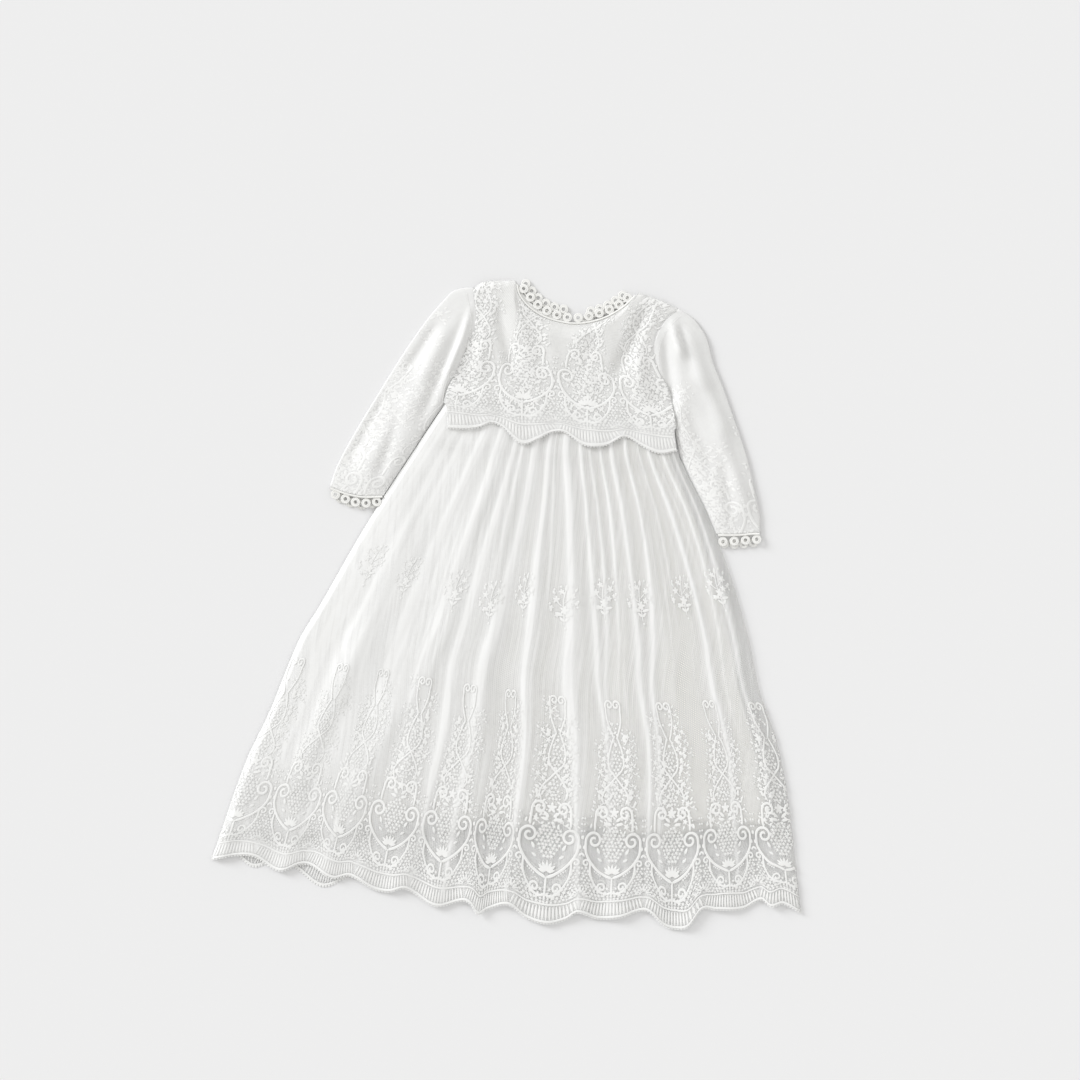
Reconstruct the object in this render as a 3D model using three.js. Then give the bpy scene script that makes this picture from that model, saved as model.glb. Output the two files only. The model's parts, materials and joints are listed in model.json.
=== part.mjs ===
// A long-sleeved christening gown laid flat on its back. It is drafted upright: the neck
// points to +Y, the wearer's front faces +Z and the cloth rests on the floor at z = 0.
// All sizes are millimetres. The drafting origin is the middle of the waist seam.

import * as THREE from 'three';

const WALL = 1.0;
const GAP = 0.3;
const LAYER = WALL + GAP;
const SIDE_GAP = 0.7;
const SEAM_ALLOWANCE = 6;
const INNER_INSET = 9;
const SHOULDER_INSET = 0.075;

const WAIST_GATHERS = 19;
const GATHER_RISE = 1.5;

const RING_RADIUS = 5.25;
const RING_HOLE_RADIUS = 2.15;
const TRIM_WALL = 1.5;
const TRIM_GAP = 0.5;

const SLEEVE_HEIGHT = 5.6;
const SLEEVE_EDGE = 3.2;

// Outlines, each a short list of [x, y] points from the neck downwards or from left to right.
const outline = {
  shoulderLeft: [[-107.7, 130.3], [-99.6, 137.7], [-64.6, 143.2]],
  neckFront: [[-64.6, 143.2], [-58.7, 126.6], [-43.9, 112.6], [-23.1, 103.8], [5.9, 101.3], [32.8, 108.5],
    [53.6, 121.8], [67.5, 136.5], [71.6, 143.6]],
  neckBack: [[-64.6, 143.2], [-54.6, 130.2], [-38.5, 116.8], [-20.0, 110.4], [5.9, 108.2], [29.5, 112.4],
    [50.5, 124.6], [65.5, 138.2], [71.6, 143.6]],
  shoulderRight: [[71.6, 143.6], [98.4, 137.5], [116.8, 130.6]],
  bodyLeft: [[-107.7, 130.3], [-101.3, 95.5], [-107.9, 69.4], [-115.8, 39.3], [-122.7, 20.3], [-126.2, 1.1]],
  bodyRight: [[116.8, 130.6], [106.3, 121.5], [96.5, 104.0], [94.0, 85.0], [100.0, 63.0], [111.5, 45.0],
    [118.5, 28.0], [126.1, 0.0]],
  waist: [[-126.2, 1.1], [-62.0, -1.6], [0.0, -2.6], [62.0, -1.8], [126.1, 0.0]],
  skirtLeft: [[-126.2, 1.1], [-147.4, -39.3], [-173.5, -89.7], [-202.4, -147.4], [-240.8, -234.4],
    [-259.8, -275.1], [-284.2, -358.4], [-304.2, -415.2], [-329.8, -524.6]],
  skirtRight: [[126.1, 0.0], [136.0, -31.1], [172.0, -89.2], [202.7, -150.1], [232.5, -223.3],
    [249.1, -275.8], [275.0, -332.8], [294.6, -398.2], [319.6, -515.0]],
};

// Lower edges, as y over x: the even sweep of each edge, and the scalloped line that is cut.
const hemSweep = [[-329.8, -521], [-200, -527], [-135, -537], [0, -546], [92, -547], [190, -536],
  [254, -518], [319.6, -513]];
const hemFront = [[-329.8, -524.6], [-303, -517], [-283, -516.4], [-255, -529], [-233, -519.5],
  [-221, -519.5],
  [-196, -531], [-177, -526.3], [-150, -538], [-133, -539.5], [-114.6, -534.1], [-80, -549.7],
  [-50.5, -540.6], [-41, -544], [-32.8, -553.9], [-24, -548], [-0.8, -539.8], [20.4, -552],
  [44.1, -556.1], [63.3, -549.7], [76, -540.5], [98.2, -544.9], [121.7, -541.3], [150.9, -530.5],
  [172.3, -544.9], [185.8, -547.3], [198.7, -543.2], [211, -523], [228.4, -521.3], [256.8, -517.2],
  [275.4, -505.3], [287.2, -511.8], [299.5, -507.2], [319.6, -515]];
const hemBack = [[-329.8, -521.5], [-306, -516], [-284, -528.1], [-262, -519], [-238, -524], [-206, -541.5],
  [-174, -527], [-140, -535], [-108, -530], [-74, -543], [-42, -537], [-5, -536], [28, -545], [62, -542],
  [84, -536.5], [108, -539], [142, -528], [178, -541], [208, -520], [240, -516], [272, -502.5],
  [319.6, -511]];
const overlayHem = [[-121.4, -25.3], [-102.1, -24], [-87, -20.6], [-74, -14.4], [-60, -18.5], [-39, -34],
  [-20.5, -26.3], [-8, -18.2], [7.3, -16.6], [28.4, -28], [41.7, -28.8], [55.2, -25.2], [73.4, -14.4],
  [97.7, -24.6], [113.6, -28.7], [130.8, -23.9]];
const liningHemFront = [[-290, -474], [-218.5, -467.6], [-120, -452], [0, -436], [74.2, -424], [170, -420],
  [290, -408]];
const liningHemBack = [[-290, -458], [-150, -446], [0, -430], [150, -414], [290, -402]];

// Sleeve outlines: the outer edge from the shoulder point, and the cuff seam from outside in.
const sleeves = {
  left: {
    outer: [[-107.7, 130.3], [-117.6, 129.2], [-131.7, 123.8], [-141.5, 111.8], [-157.5, 88.5],
      [-182, 43.3], [-209, -12.7], [-224.2, -45.7], [-238.5, -81.5], [-243.5, -104.1]],
    cuff: [[-243.5, -104.1], [-224.2, -108.7], [-206.3, -110.2], [-181.6, -106.5]],
    underarm: 0.55,
    skirtShare: 0.216,
  },
  right: {
    outer: [[116.8, 130.6], [127, 126.5], [137.6, 119.5], [152, 101.1], [162.1, 74.9], [174.4, 51.5],
      [193.5, 11.5], [209.3, -23.4], [220.1, -54.3], [229.3, -83.2], [232.8, -104.9]],
    cuff: [[232.8, -104.9], [221, -106.3], [208.3, -108.8], [185, -111.4]],
    underarm: 0.62,
    skirtShare: 0.228,
  },
};

// Long folds of the skirt front. The five positions are shares of the skirt's width at the waist,
// a quarter, a half and three quarters of the way down, and the hem. Rise is the height in
// millimetres. Left and right are how far each flank reaches at the hem.
const skirtFolds = [
  { waist: 0.06, quarter: 0.075, half: 0.07, lower: 0.06, hem: 0.055,
    from: -0.1, to: 1.2, rise: 4, left: 26, right: 30 },
  { waist: 0.125, quarter: 0.12, half: 0.125, lower: 0.115, hem: 0.12,
    from: -0.1, to: 1.2, rise: 4.5, left: 30, right: 26 },
  { waist: 0.255, quarter: 0.2, half: 0.19, lower: 0.17, hem: 0.17,
    from: -0.1, to: 0.7, rise: 5, left: 30, right: 20 },
  { waist: 0.31, quarter: 0.3, half: 0.305, lower: 0.222, hem: 0.228,
    from: -0.1, to: 1.2, rise: 7.5, left: 40, right: 20 },
  { waist: 0.385, quarter: 0.39, half: 0.357, lower: 0.336, hem: 0.331,
    from: 0.3, to: 1.2, rise: 6.5, left: 34, right: 20 },
  { waist: 0.41, quarter: 0.388, half: 0.404, lower: 0.421, hem: 0.456,
    from: -0.1, to: 1.2, rise: 9, left: 44, right: 16 },
  { waist: 0.505, quarter: 0.487, half: 0.506, lower: 0.512, hem: 0.51,
    from: -0.1, to: 1.2, rise: 6.5, left: 22, right: 28 },
  { waist: 0.552, quarter: 0.571, half: 0.62, lower: 0.625, hem: 0.625,
    from: -0.1, to: 1.2, rise: 8, left: 34, right: 15 },
  { waist: 0.612, quarter: 0.632, half: 0.692, lower: 0.7, hem: 0.7,
    from: -0.1, to: 0.5, rise: 5, left: 16, right: 20 },
  { waist: 0.719, quarter: 0.72, half: 0.713, lower: 0.705, hem: 0.71,
    from: -0.1, to: 1.2, rise: 8, left: 26, right: 26 },
  { waist: 0.803, quarter: 0.789, half: 0.815, lower: 0.828, hem: 0.835,
    from: -0.1, to: 1.2, rise: 6.5, left: 28, right: 22 },
  { waist: 0.849, quarter: 0.868, half: 0.88, lower: 0.89, hem: 0.89,
    from: -0.1, to: 0.35, rise: 4.5, left: 16, right: 16 },
  { waist: 0.949, quarter: 0.94, half: 0.953, lower: 0.955, hem: 0.955,
    from: -0.1, to: 1.2, rise: 4, left: 22, right: 16 },
];

// Soft creases of the bodice and of the sleeves: from and to are [x, y], reach is the half-width.
const bodiceCreases = [
  { from: [-58, 118], to: [-6, 22], rise: 1.2, reach: 16 },
  { from: [66, 124], to: [24, 30], rise: 1.4, reach: 15 },
  { from: [98, 118], to: [84, 52], rise: 1.7, reach: 12 },
  { from: [-98, 110], to: [-96, 40], rise: 1.5, reach: 12 },
  { from: [112, 62], to: [70, 8], rise: 1.0, reach: 14 },
];
const sleeveCreases = {
  left: [
    { from: [-108, 92], to: [-150, 40], rise: 0.8, reach: 9 },
    { from: [-150, 20], to: [-208, -70], rise: 0.7, reach: 10 },
    { from: [-120, 60], to: [-162, -20], rise: 0.7, reach: 8 },
  ],
  right: [
    { from: [118, 112], to: [140, 78], rise: 0.9, reach: 6 },
    { from: [116, 70], to: [160, 10], rise: 0.7, reach: 9 },
    { from: [160, 24], to: [206, -66], rise: 0.8, reach: 9 },
  ],
};

// Rows of lace rings: the centre line of the rings, how many there are, and the height they lie at.
const ringRows = [
  { name: 'neck_trim_front', seam: 'neckFront', from: 0.035, to: 0.965, count: 12, level: 2.6, out: 1,
    centres: [[-54.2, 134.8], [-38.3, 119.6], [-17.1, 110.4], [6.9, 108.9], [30.4, 116.4], [48.5, 125.8],
      [60.2, 136.6]] },
  { name: 'neck_trim_back_left', seam: 'neckBack', from: 0.06, to: 0.435, count: 6, level: 0.7, out: 1,
    centres: [[-52.5, 140.5], [-40, 128.5], [-29.4, 121.9], [-19.3, 118.6], [-8.3, 117]] },
  { name: 'neck_trim_back_right', seam: 'neckBack', from: 0.565, to: 0.94, count: 5, level: 0.7, out: 1,
    centres: [[21.8, 118.2], [32.4, 122.3], [43.5, 129.2], [54.8, 139]] },
  { name: 'cuff_trim_left_front', seam: 'cuffLeft', from: 0.02, to: 0.97, count: 5, level: 2.9, out: -1,
    centres: [[-236.2, -112], [-222, -116.2], [-206.5, -118.2], [-190.4, -115]] },
  { name: 'cuff_trim_left_back', seam: 'cuffLeft', from: 0.1, to: 0.92, count: 4, level: 0, out: -1,
    centres: [[-231, -115.5], [-219, -119], [-206.5, -120.2], [-195, -117.5]] },
  { name: 'cuff_trim_right_front', seam: 'cuffRight', from: 0.03, to: 0.96, count: 4, level: 2.9, out: -1,
    centres: [[229.2, -112.4], [217.5, -114.6], [204.6, -117], [192.6, -118.8]] },
  { name: 'cuff_trim_right_back', seam: 'cuffRight', from: 0.04, to: 0.9, count: 4, level: 0, out: -1,
    centres: [[226, -116.4], [214.4, -119], [202.5, -120.8], [194.8, -121]] },
];

const clamp = (value, low, high) => Math.min(high, Math.max(low, value));
const mix = (a, b, share) => a + (b - a) * share;
const mixPoint = (a, b, share) => [mix(a[0], b[0], share), mix(a[1], b[1], share)];

function smoothstep(low, high, value) {
  const share = clamp((value - low) / (high - low), 0, 1);
  return share * share * (3 - 2 * share);
}

// A smooth function of one number through a short table of [number, value] rows.
function smoothTable(rows) {
  const slope = (i) => {
    const a = rows[Math.max(0, i - 1)];
    const b = rows[Math.min(rows.length - 1, i + 1)];
    return (b[1] - a[1]) / (b[0] - a[0]);
  };
  return (x) => {
    let i = 0;
    while (i < rows.length - 2 && x > rows[i + 1][0]) i += 1;
    const span = rows[i + 1][0] - rows[i][0];
    const u = clamp((x - rows[i][0]) / span, 0, 1);
    const rise = u * u * (3 - 2 * u);
    const start = u * (1 - u) * (1 - u) * span;
    const end = u * u * (u - 1) * span;
    return mix(rows[i][1], rows[i + 1][1], rise) + start * slope(i) + end * slope(i + 1);
  };
}

// A smooth curve through [x, y] points. The result gives the point at a share of its length.
function smoothCurve(points) {
  const along = [0];
  for (let i = 1; i < points.length; i += 1) {
    along.push(along[i - 1] + Math.hypot(points[i][0] - points[i - 1][0], points[i][1] - points[i - 1][1]));
  }
  const xAt = smoothTable(points.map((p, i) => [along[i], p[0]]));
  const yAt = smoothTable(points.map((p, i) => [along[i], p[1]]));
  const length = along[along.length - 1];
  return (share) => [xAt(share * length), yAt(share * length)];
}

// The curve from one share of another curve to a second share, moved by dx.
function stretchOf(curve, from, to, steps, dx = 0) {
  const points = [];
  for (let i = 0; i <= steps; i += 1) {
    const p = curve(mix(from, to, i / steps));
    points.push([p[0] + dx, p[1]]);
  }
  return points;
}

// The point at shares s and t of the plan patch between four boundary curves.
function patchPoint(top, bottom, left, right, s, t) {
  const a = mixPoint(top(s), bottom(s), t);
  const b = mixPoint(left(t), right(t), s);
  const c = mixPoint(mixPoint(top(0), top(1), s), mixPoint(bottom(0), bottom(1), s), t);
  return [a[0] + b[0] - c[0], a[1] + b[1] - c[1]];
}

// How high a straight crease stands at a point of the plan.
function creaseHeight(crease, x, y) {
  const dx = crease.to[0] - crease.from[0];
  const dy = crease.to[1] - crease.from[1];
  const length = Math.hypot(dx, dy);
  const along = ((x - crease.from[0]) * dx + (y - crease.from[1]) * dy) / (length * length);
  const across = ((x - crease.from[0]) * dy - (y - crease.from[1]) * dx) / length;
  const fade = smoothstep(-0.25, 0.2, along) * (1 - smoothstep(0.8, 1.25, along));
  return crease.rise * fade * Math.exp(-((across / crease.reach) ** 2));
}

function creases(rows, x, y) {
  return rows.reduce((sum, row) => sum + creaseHeight(row, x, y), 0);
}

// A closed mesh from points and triangles, moved to no other place: all pieces share one frame.
function solid(name, points, triangles, material) {
  const geometry = new THREE.BufferGeometry();
  geometry.setAttribute('position', new THREE.BufferAttribute(new Float32Array(points.flat()), 3));
  geometry.setIndex(triangles);
  geometry.computeVertexNormals();
  const mesh = new THREE.Mesh(geometry, material);
  mesh.name = name;
  return mesh;
}

// A sheet of cloth over a grid of shares: plan gives [x, y], under gives the height of its
// underside, and the top side is one wall further out along the cloth's normal.
function sheet(name, columns, rows, plan, under, material, wall = WALL) {
  const lower = [];
  const upper = [];
  for (let j = 0; j <= rows.length - 1; j += 1) {
    for (let i = 0; i <= columns.length - 1; i += 1) {
      const s = columns[i];
      const t = rows[j];
      const [x, y] = plan(s, t);
      const z = under(s, t, x, y);
      const [x1, y1] = plan(clamp(s + 0.002, 0, 1), t);
      const [x0, y0] = plan(clamp(s - 0.002, 0, 1), t);
      const run = Math.hypot(x1 - x0, y1 - y0) || 1;
      const ahead = under(clamp(s + 0.002, 0, 1), t, x1, y1);
      const behind = under(clamp(s - 0.002, 0, 1), t, x0, y0);
      const climb = (ahead - behind) / run;
      lower.push([x, y, z]);
      upper.push([x, y, z + wall * Math.min(1.25, Math.hypot(1, climb))]);
    }
  }
  const width = columns.length;
  const depth = rows.length;
  const count = width * depth;
  const triangles = [];
  const quad = (a, b, c, d) => triangles.push(a, b, c, a, c, d);
  for (let j = 0; j < depth - 1; j += 1) {
    for (let i = 0; i < width - 1; i += 1) {
      const a = j * width + i;
      quad(a, a + 1, a + width + 1, a + width);
      quad(count + a, count + a + width, count + a + width + 1, count + a + 1);
    }
  }
  for (let i = 0; i < width - 1; i += 1) {
    const last = (depth - 1) * width + i;
    quad(i, count + i, count + i + 1, i + 1);
    quad(last, last + 1, count + last + 1, count + last);
  }
  for (let j = 0; j < depth - 1; j += 1) {
    const a = j * width;
    const b = a + width - 1;
    quad(a, a + width, count + a + width, count + a);
    quad(b, count + b, count + b + width, b + width);
  }
  return solid(name, lower.concat(upper), triangles, material);
}

const shares = (steps, from = 0, to = 1) => (
  Array.from({ length: steps + 1 }, (_, i) => mix(from, to, i / steps))
);

// Outlines as curves.

const curves = {
  shoulderLeft: smoothCurve(outline.shoulderLeft),
  shoulderRight: smoothCurve(outline.shoulderRight),
  neckFront: smoothCurve(outline.neckFront),
  neckBack: smoothCurve(outline.neckBack),
  bodyLeft: smoothCurve(outline.bodyLeft),
  bodyRight: smoothCurve(outline.bodyRight),
  waist: smoothCurve(outline.waist),
  skirtLeft: smoothCurve(outline.skirtLeft),
  skirtRight: smoothCurve(outline.skirtRight),
};
const hemSweepAt = smoothTable(hemSweep);
const hemFrontAt = smoothTable(hemFront);
const hemBackAt = smoothTable(hemBack);
const overlayHemAt = smoothTable(overlayHem);
const liningFrontAt = smoothTable(liningHemFront);
const liningBackAt = smoothTable(liningHemBack);
const waistAt = smoothTable(outline.waist);

const NECK_START = 0.2;
const NECK_END = 0.8;

// Top edge of the bodice, shoulder to shoulder, with the neck in its middle part.
function topEdge(neck, s) {
  if (s < NECK_START) return curves.shoulderLeft(s / NECK_START);
  if (s > NECK_END) return curves.shoulderRight((s - NECK_END) / (1 - NECK_END));
  return neck((s - NECK_START) / (NECK_END - NECK_START));
}

// Plan of the bodice. Past t = 1 it runs on below the waist to the overlay's scalloped hem at t = 2.
function bodicePlan(neck, s, t) {
  if (t <= 1) {
    return patchPoint((u) => topEdge(neck, u), curves.waist, curves.bodyLeft, curves.bodyRight, s, t);
  }
  const start = curves.waist(s);
  const x = mix(start[0], mix(-121.4, 130.8, s), t - 1);
  return [x, mix(start[1], overlayHemAt(mix(-121.4, 130.8, s)), t - 1)];
}

// Plan of the skirt: the sides lean out, the waist and the hem bow, and only the last part of the
// length follows the scallops.
function skirtPlan(hemAt, s, t) {
  const a = curves.skirtLeft(t);
  const b = curves.skirtRight(t);
  const x = mix(a[0], b[0], s);
  const hemX = mix(-329.8, 319.6, s);
  const waistX = mix(-126.2, 126.1, s);
  const waistBow = waistAt(waistX) - mix(1.1, 0, s);
  const hemBow = hemSweepAt(hemX) - mix(-521, -513, s);
  const scallop = hemAt(hemX) - hemSweepAt(hemX);
  const endLift = mix(curves.skirtLeft(1)[1] + 521, curves.skirtRight(1)[1] + 513, s) * smoothstep(0.8, 1, t);
  const near = smoothstep(0.86, 1, t);
  const side = mix(a[1], b[1], s) - endLift;
  return [x, side + waistBow * (1 - t) ** 2 + hemBow * t ** 1.5 + scallop * near];
}

// Top of what the skirt's back layer is, as a height above the floor: it steps up at the waist, where
// it lies on the overlay's back.
function skirtBackUnder(y) {
  return LAYER * smoothstep(-54, -38, y);
}

// Height of the folds of the skirt front above its flat lie.
function foldHeight(s, t) {
  const width = mix(252, 649, t);
  const grow = mix(0.1, 1, smoothstep(0, 0.55, t));
  let sum = 0;
  for (const fold of skirtFolds) {
    const route = [[0, fold.waist], [0.25, fold.quarter], [0.5, fold.half], [0.75, fold.lower],
      [1, fold.hem]];
    const centre = smoothTable(route)(t);
    const offset = (s - centre) * width;
    const reach = (offset < 0 ? fold.left : fold.right) * mix(0.34, 1, Math.sqrt(t));
    const presence = smoothstep(fold.from, fold.from + 0.1, t) * (1 - smoothstep(fold.to - 0.2, fold.to, t));
    sum += (fold.rise * grow * presence * Math.exp(-((offset / reach) ** 2))) ** 3;
  }
  const wander = 0.35 * Math.sin(s * 17) + 0.25 * Math.sin(s * 41 + 2);
  const gather = 0.5 + 0.5 * Math.sin(2 * Math.PI * WAIST_GATHERS * s + wander * 3);
  const gatherFade = mix(0.75, 1, smoothstep(0, 0.06, t)) * (1 - smoothstep(0.12, 0.42, t));
  const edge = smoothstep(0, 14, s * width) * smoothstep(0, 14, (1 - s) * width);
  return edge * (sum + (GATHER_RISE * gather * gatherFade) ** 3) ** (1 / 3);
}

// Outline of the lining: inside the skirt's sides, below the waist seam, and its own lower edge.
const LINING_TOP = 0.5;
function liningPlan(hemAt, s, t) {
  const [, y0] = skirtPlan(hemFrontAt, s, 0);
  const topY = y0 - SEAM_ALLOWANCE - GAP - LINING_TOP;
  const y = (x) => mix(topY, hemAt(x), t);
  const shareDown = mix(0.012, 0.83, t);
  const a = curves.skirtLeft(shareDown)[0] + 14 + 20 * shareDown;
  const b = curves.skirtRight(shareDown)[0] - 14 - 20 * shareDown;
  const x = mix(a, b, s);
  return [x, y(x)];
}

// How much the lining below lifts the skirt front: two layers inside its outline, none outside it.
function liningLift(x, y, s, width) {
  const side = Math.min(s, 1 - s) * width;
  const down = -y / 540;
  const inset = 14 + 20 * down;
  const across = smoothstep(inset - 13, inset - 3, side);
  const hem = liningFrontAt(clamp(x, -290, 290));
  const below = smoothstep(hem - 26, hem - 6, y);
  return 2 * LAYER * across * below;
}

function skirtFrontUnder(s, t, x, y) {
  const width = curves.skirtRight(t)[0] - curves.skirtLeft(t)[0];
  return skirtBackUnder(y) + LAYER + liningLift(x, y, s, width) + foldHeight(s, t);
}

// Height of the bodice's soft creases, fading to nothing at its edges.
function bodiceSoftness(s, t, x, y) {
  const edge = smoothstep(0, 0.12, s) * smoothstep(0, 0.12, 1 - s) * smoothstep(0, 0.18, t);
  return edge * (creases(bodiceCreases, x, y) + 0.8 * Math.sin(Math.PI * s));
}

function bodiceFrontUnder(s, t, x, y) {
  const waistRise = LAYER * smoothstep(34, 10, y);
  const beforeSeam = 1 - smoothstep(34, 4, y);
  return 2 * LAYER + waistRise + bodiceSoftness(s, t, x, y) * beforeSeam;
}

// Share across the bodice at which an inner layer starts, so that it stays inside the outer one.
function insetShares(s, t) {
  const width = curves.bodyRight(Math.min(t, 1))[0] - curves.bodyLeft(Math.min(t, 1))[0];
  return mix(INNER_INSET / width, 1 - INNER_INSET / width, s);
}

// One inside the neck part of the top edge and nothing at the shoulders, from a share across.
function neckPart(s, start) {
  return smoothstep(start, start + 0.025, Math.min(s, 1 - s));
}

// Share of the length at which an inner layer lies: it starts inside the shoulder and flush at the neck.
function insetDown(s, t) {
  return mix(SHOULDER_INSET * (1 - neckPart(s, NECK_START)), 1, t);
}

// Underside of the overlay front: it lies on the bodice front, drops to the back at the sides and
// the shoulders, and rides over the gathers below the waist.
const OVERLAY_ON_GATHERS = 4 * LAYER + 2.5;
const OVERLAY_SLACK = 0.2;
function overlayFrontUnder(s, t, x, y) {
  const width = curves.bodyRight(Math.min(t, 1))[0] - curves.bodyLeft(Math.min(t, 1))[0];
  const side = Math.min(s, 1 - s) * width;
  const shoulderRun = mix(smoothstep(0, 6.5, t * 142), 1, neckPart(s, NECK_START - 0.05));
  const overEdge = smoothstep(0, 8, side) * shoulderRun;
  const onBodice = mix(LAYER, bodiceFrontUnder(s, Math.min(t, 1), x, y) + LAYER + OVERLAY_SLACK, overEdge);
  const ride = smoothstep(30, 8, y);
  const wave = 0.35 * (1 + Math.sin(2 * Math.PI * 3.4 * s + 1)) * smoothstep(1, 2, t);
  return mix(onBodice, OVERLAY_ON_GATHERS + wave, ride);
}

// Cloth and its colours.

const cloth = (color, roughness) => new THREE.MeshStandardMaterial({ color, roughness, metalness: 0 });
const satin = cloth(0xf4f5f6, 0.45);
const net = cloth(0xf1f3f4, 0.85);
const liningCloth = cloth(0xf3f4f5, 0.6);
const guipure = cloth(0xf7f7f5, 0.8);

const gown = new THREE.Group();
gown.name = 'christening_gown';

// Bodice.

const acrossBodice = shares(30);
const downBodice = [0, 0.05, 0.12, 0.2, 0.3, 0.4, 0.5, 0.6, 0.7, 0.8, 0.9, 1];
const withPeplum = downBodice.concat(shares(3, 1, 2).slice(1));

gown.add(sheet('overlay_front', acrossBodice, withPeplum, (s, t) => bodicePlan(curves.neckFront, s, t),
  overlayFrontUnder, net));

// The satin layers stay inside the overlay and run on below the waist by the seam allowance.
function satinPlan(neck, s, t) {
  const across = insetShares(s, t);
  const [x, y] = bodicePlan(neck, across, insetDown(across, t));
  return [x, y - SEAM_ALLOWANCE * smoothstep(0.6, 1, t)];
}
const satinFrontPlan = (s, t) => satinPlan(curves.neckFront, s, t);
gown.add(sheet('bodice_front', shares(24), shares(8), satinFrontPlan, (s, t, x, y) => {
  const across = insetShares(s, t);
  return bodiceFrontUnder(across, insetDown(across, t), x, y);
}, satin));

// The back opens down its middle: each half stops at a line that closes from the neck to the waist.
const OPENING_AT_NECK = 7;
const OPENING_AT_WAIST = 0.3;
const OPENING_X = 6;
function backHalf(side, plan, s, t) {
  const whole = side < 0 ? mix(0, 0.5, s) : mix(0.5, 1, s);
  const [x, y] = plan(whole, t);
  const half = mix(OPENING_AT_NECK, OPENING_AT_WAIST, smoothstep(0, 1, Math.min(t, 1)));
  const pull = side < 0 ? s : 1 - s;
  const middle = plan(0.5, t)[0];
  const edge = OPENING_X * (1 - Math.min(t, 1)) + side * half;
  return [x + (edge - middle) * pull ** 3, y];
}
for (const side of [-1, 1]) {
  const word = side < 0 ? 'left' : 'right';
  gown.add(sheet(`overlay_back_${word}`, shares(10), downBodice.concat([2]),
    (s, t) => backHalf(side, (u, v) => bodicePlan(curves.neckBack, u, v), s, t), () => 0, net));
  gown.add(sheet(`bodice_back_${word}`, shares(8), shares(5),
    (s, t) => backHalf(side, (u, v) => satinPlan(curves.neckBack, u, v), s, t), () => LAYER, satin));
}

// Skirt and its lining.

const downSkirt = [0, 0.03, 0.06, 0.1, 0.15, 0.21, 0.28, 0.36, 0.45, 0.54, 0.63, 0.72, 0.8, 0.86, 0.91,
  0.96, 1];
const skirtFrontPlan = (s, t) => skirtPlan(hemFrontAt, s, t);
gown.add(sheet('skirt_front', shares(80), downSkirt, skirtFrontPlan, skirtFrontUnder, net));
gown.add(sheet('skirt_back', shares(44), [0, 0.07, 0.1, 0.35, 0.65, 0.88, 1], (s, t) => {
  const [x, y] = skirtPlan(hemBackAt, s, t);
  return [x, y - (SEAM_ALLOWANCE + GAP) * (1 - t) ** 3];
}, (s, t, x, y) => skirtBackUnder(y), net));
gown.add(sheet('lining_back', shares(14), [0, 0.08, 0.12, 0.5, 1], (s, t) => liningPlan(liningBackAt, s, t),
  (s, t, x, y) => skirtBackUnder(y) + LAYER, liningCloth));
gown.add(sheet('lining_front', shares(20), [0, 0.08, 0.12, 0.3, 0.5, 0.75, 1],
  (s, t) => liningPlan(liningFrontAt, s, t), (s, t, x, y) => skirtBackUnder(y) + 2 * LAYER, liningCloth));

// Sleeves: flattened tubes, open at the armhole and at the cuff.

const RING_POINTS = 8;
const SLEEVE_SECTIONS = 18;

// The four edges of a sleeve's plan: the armhole, the side that lies against body and skirt, the
// outer side and the cuff seam.
function sleeveEdges(side, shape, body, skirt) {
  const armhole = smoothCurve(stretchOf(body, 0, shape.underarm, 10, side * SIDE_GAP));
  const inner = smoothCurve(stretchOf(body, shape.underarm, 1, 6, side * SIDE_GAP)
    .concat(stretchOf(skirt, 0, shape.skirtShare, 8, side * SIDE_GAP).slice(1)));
  const outer = smoothCurve([armhole(0)].concat(shape.outer.slice(1)));
  const cuff = smoothCurve(shape.cuff.slice(0, -1).concat([inner(1)]));
  return { armhole, inner, outer, cuff };
}

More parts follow.
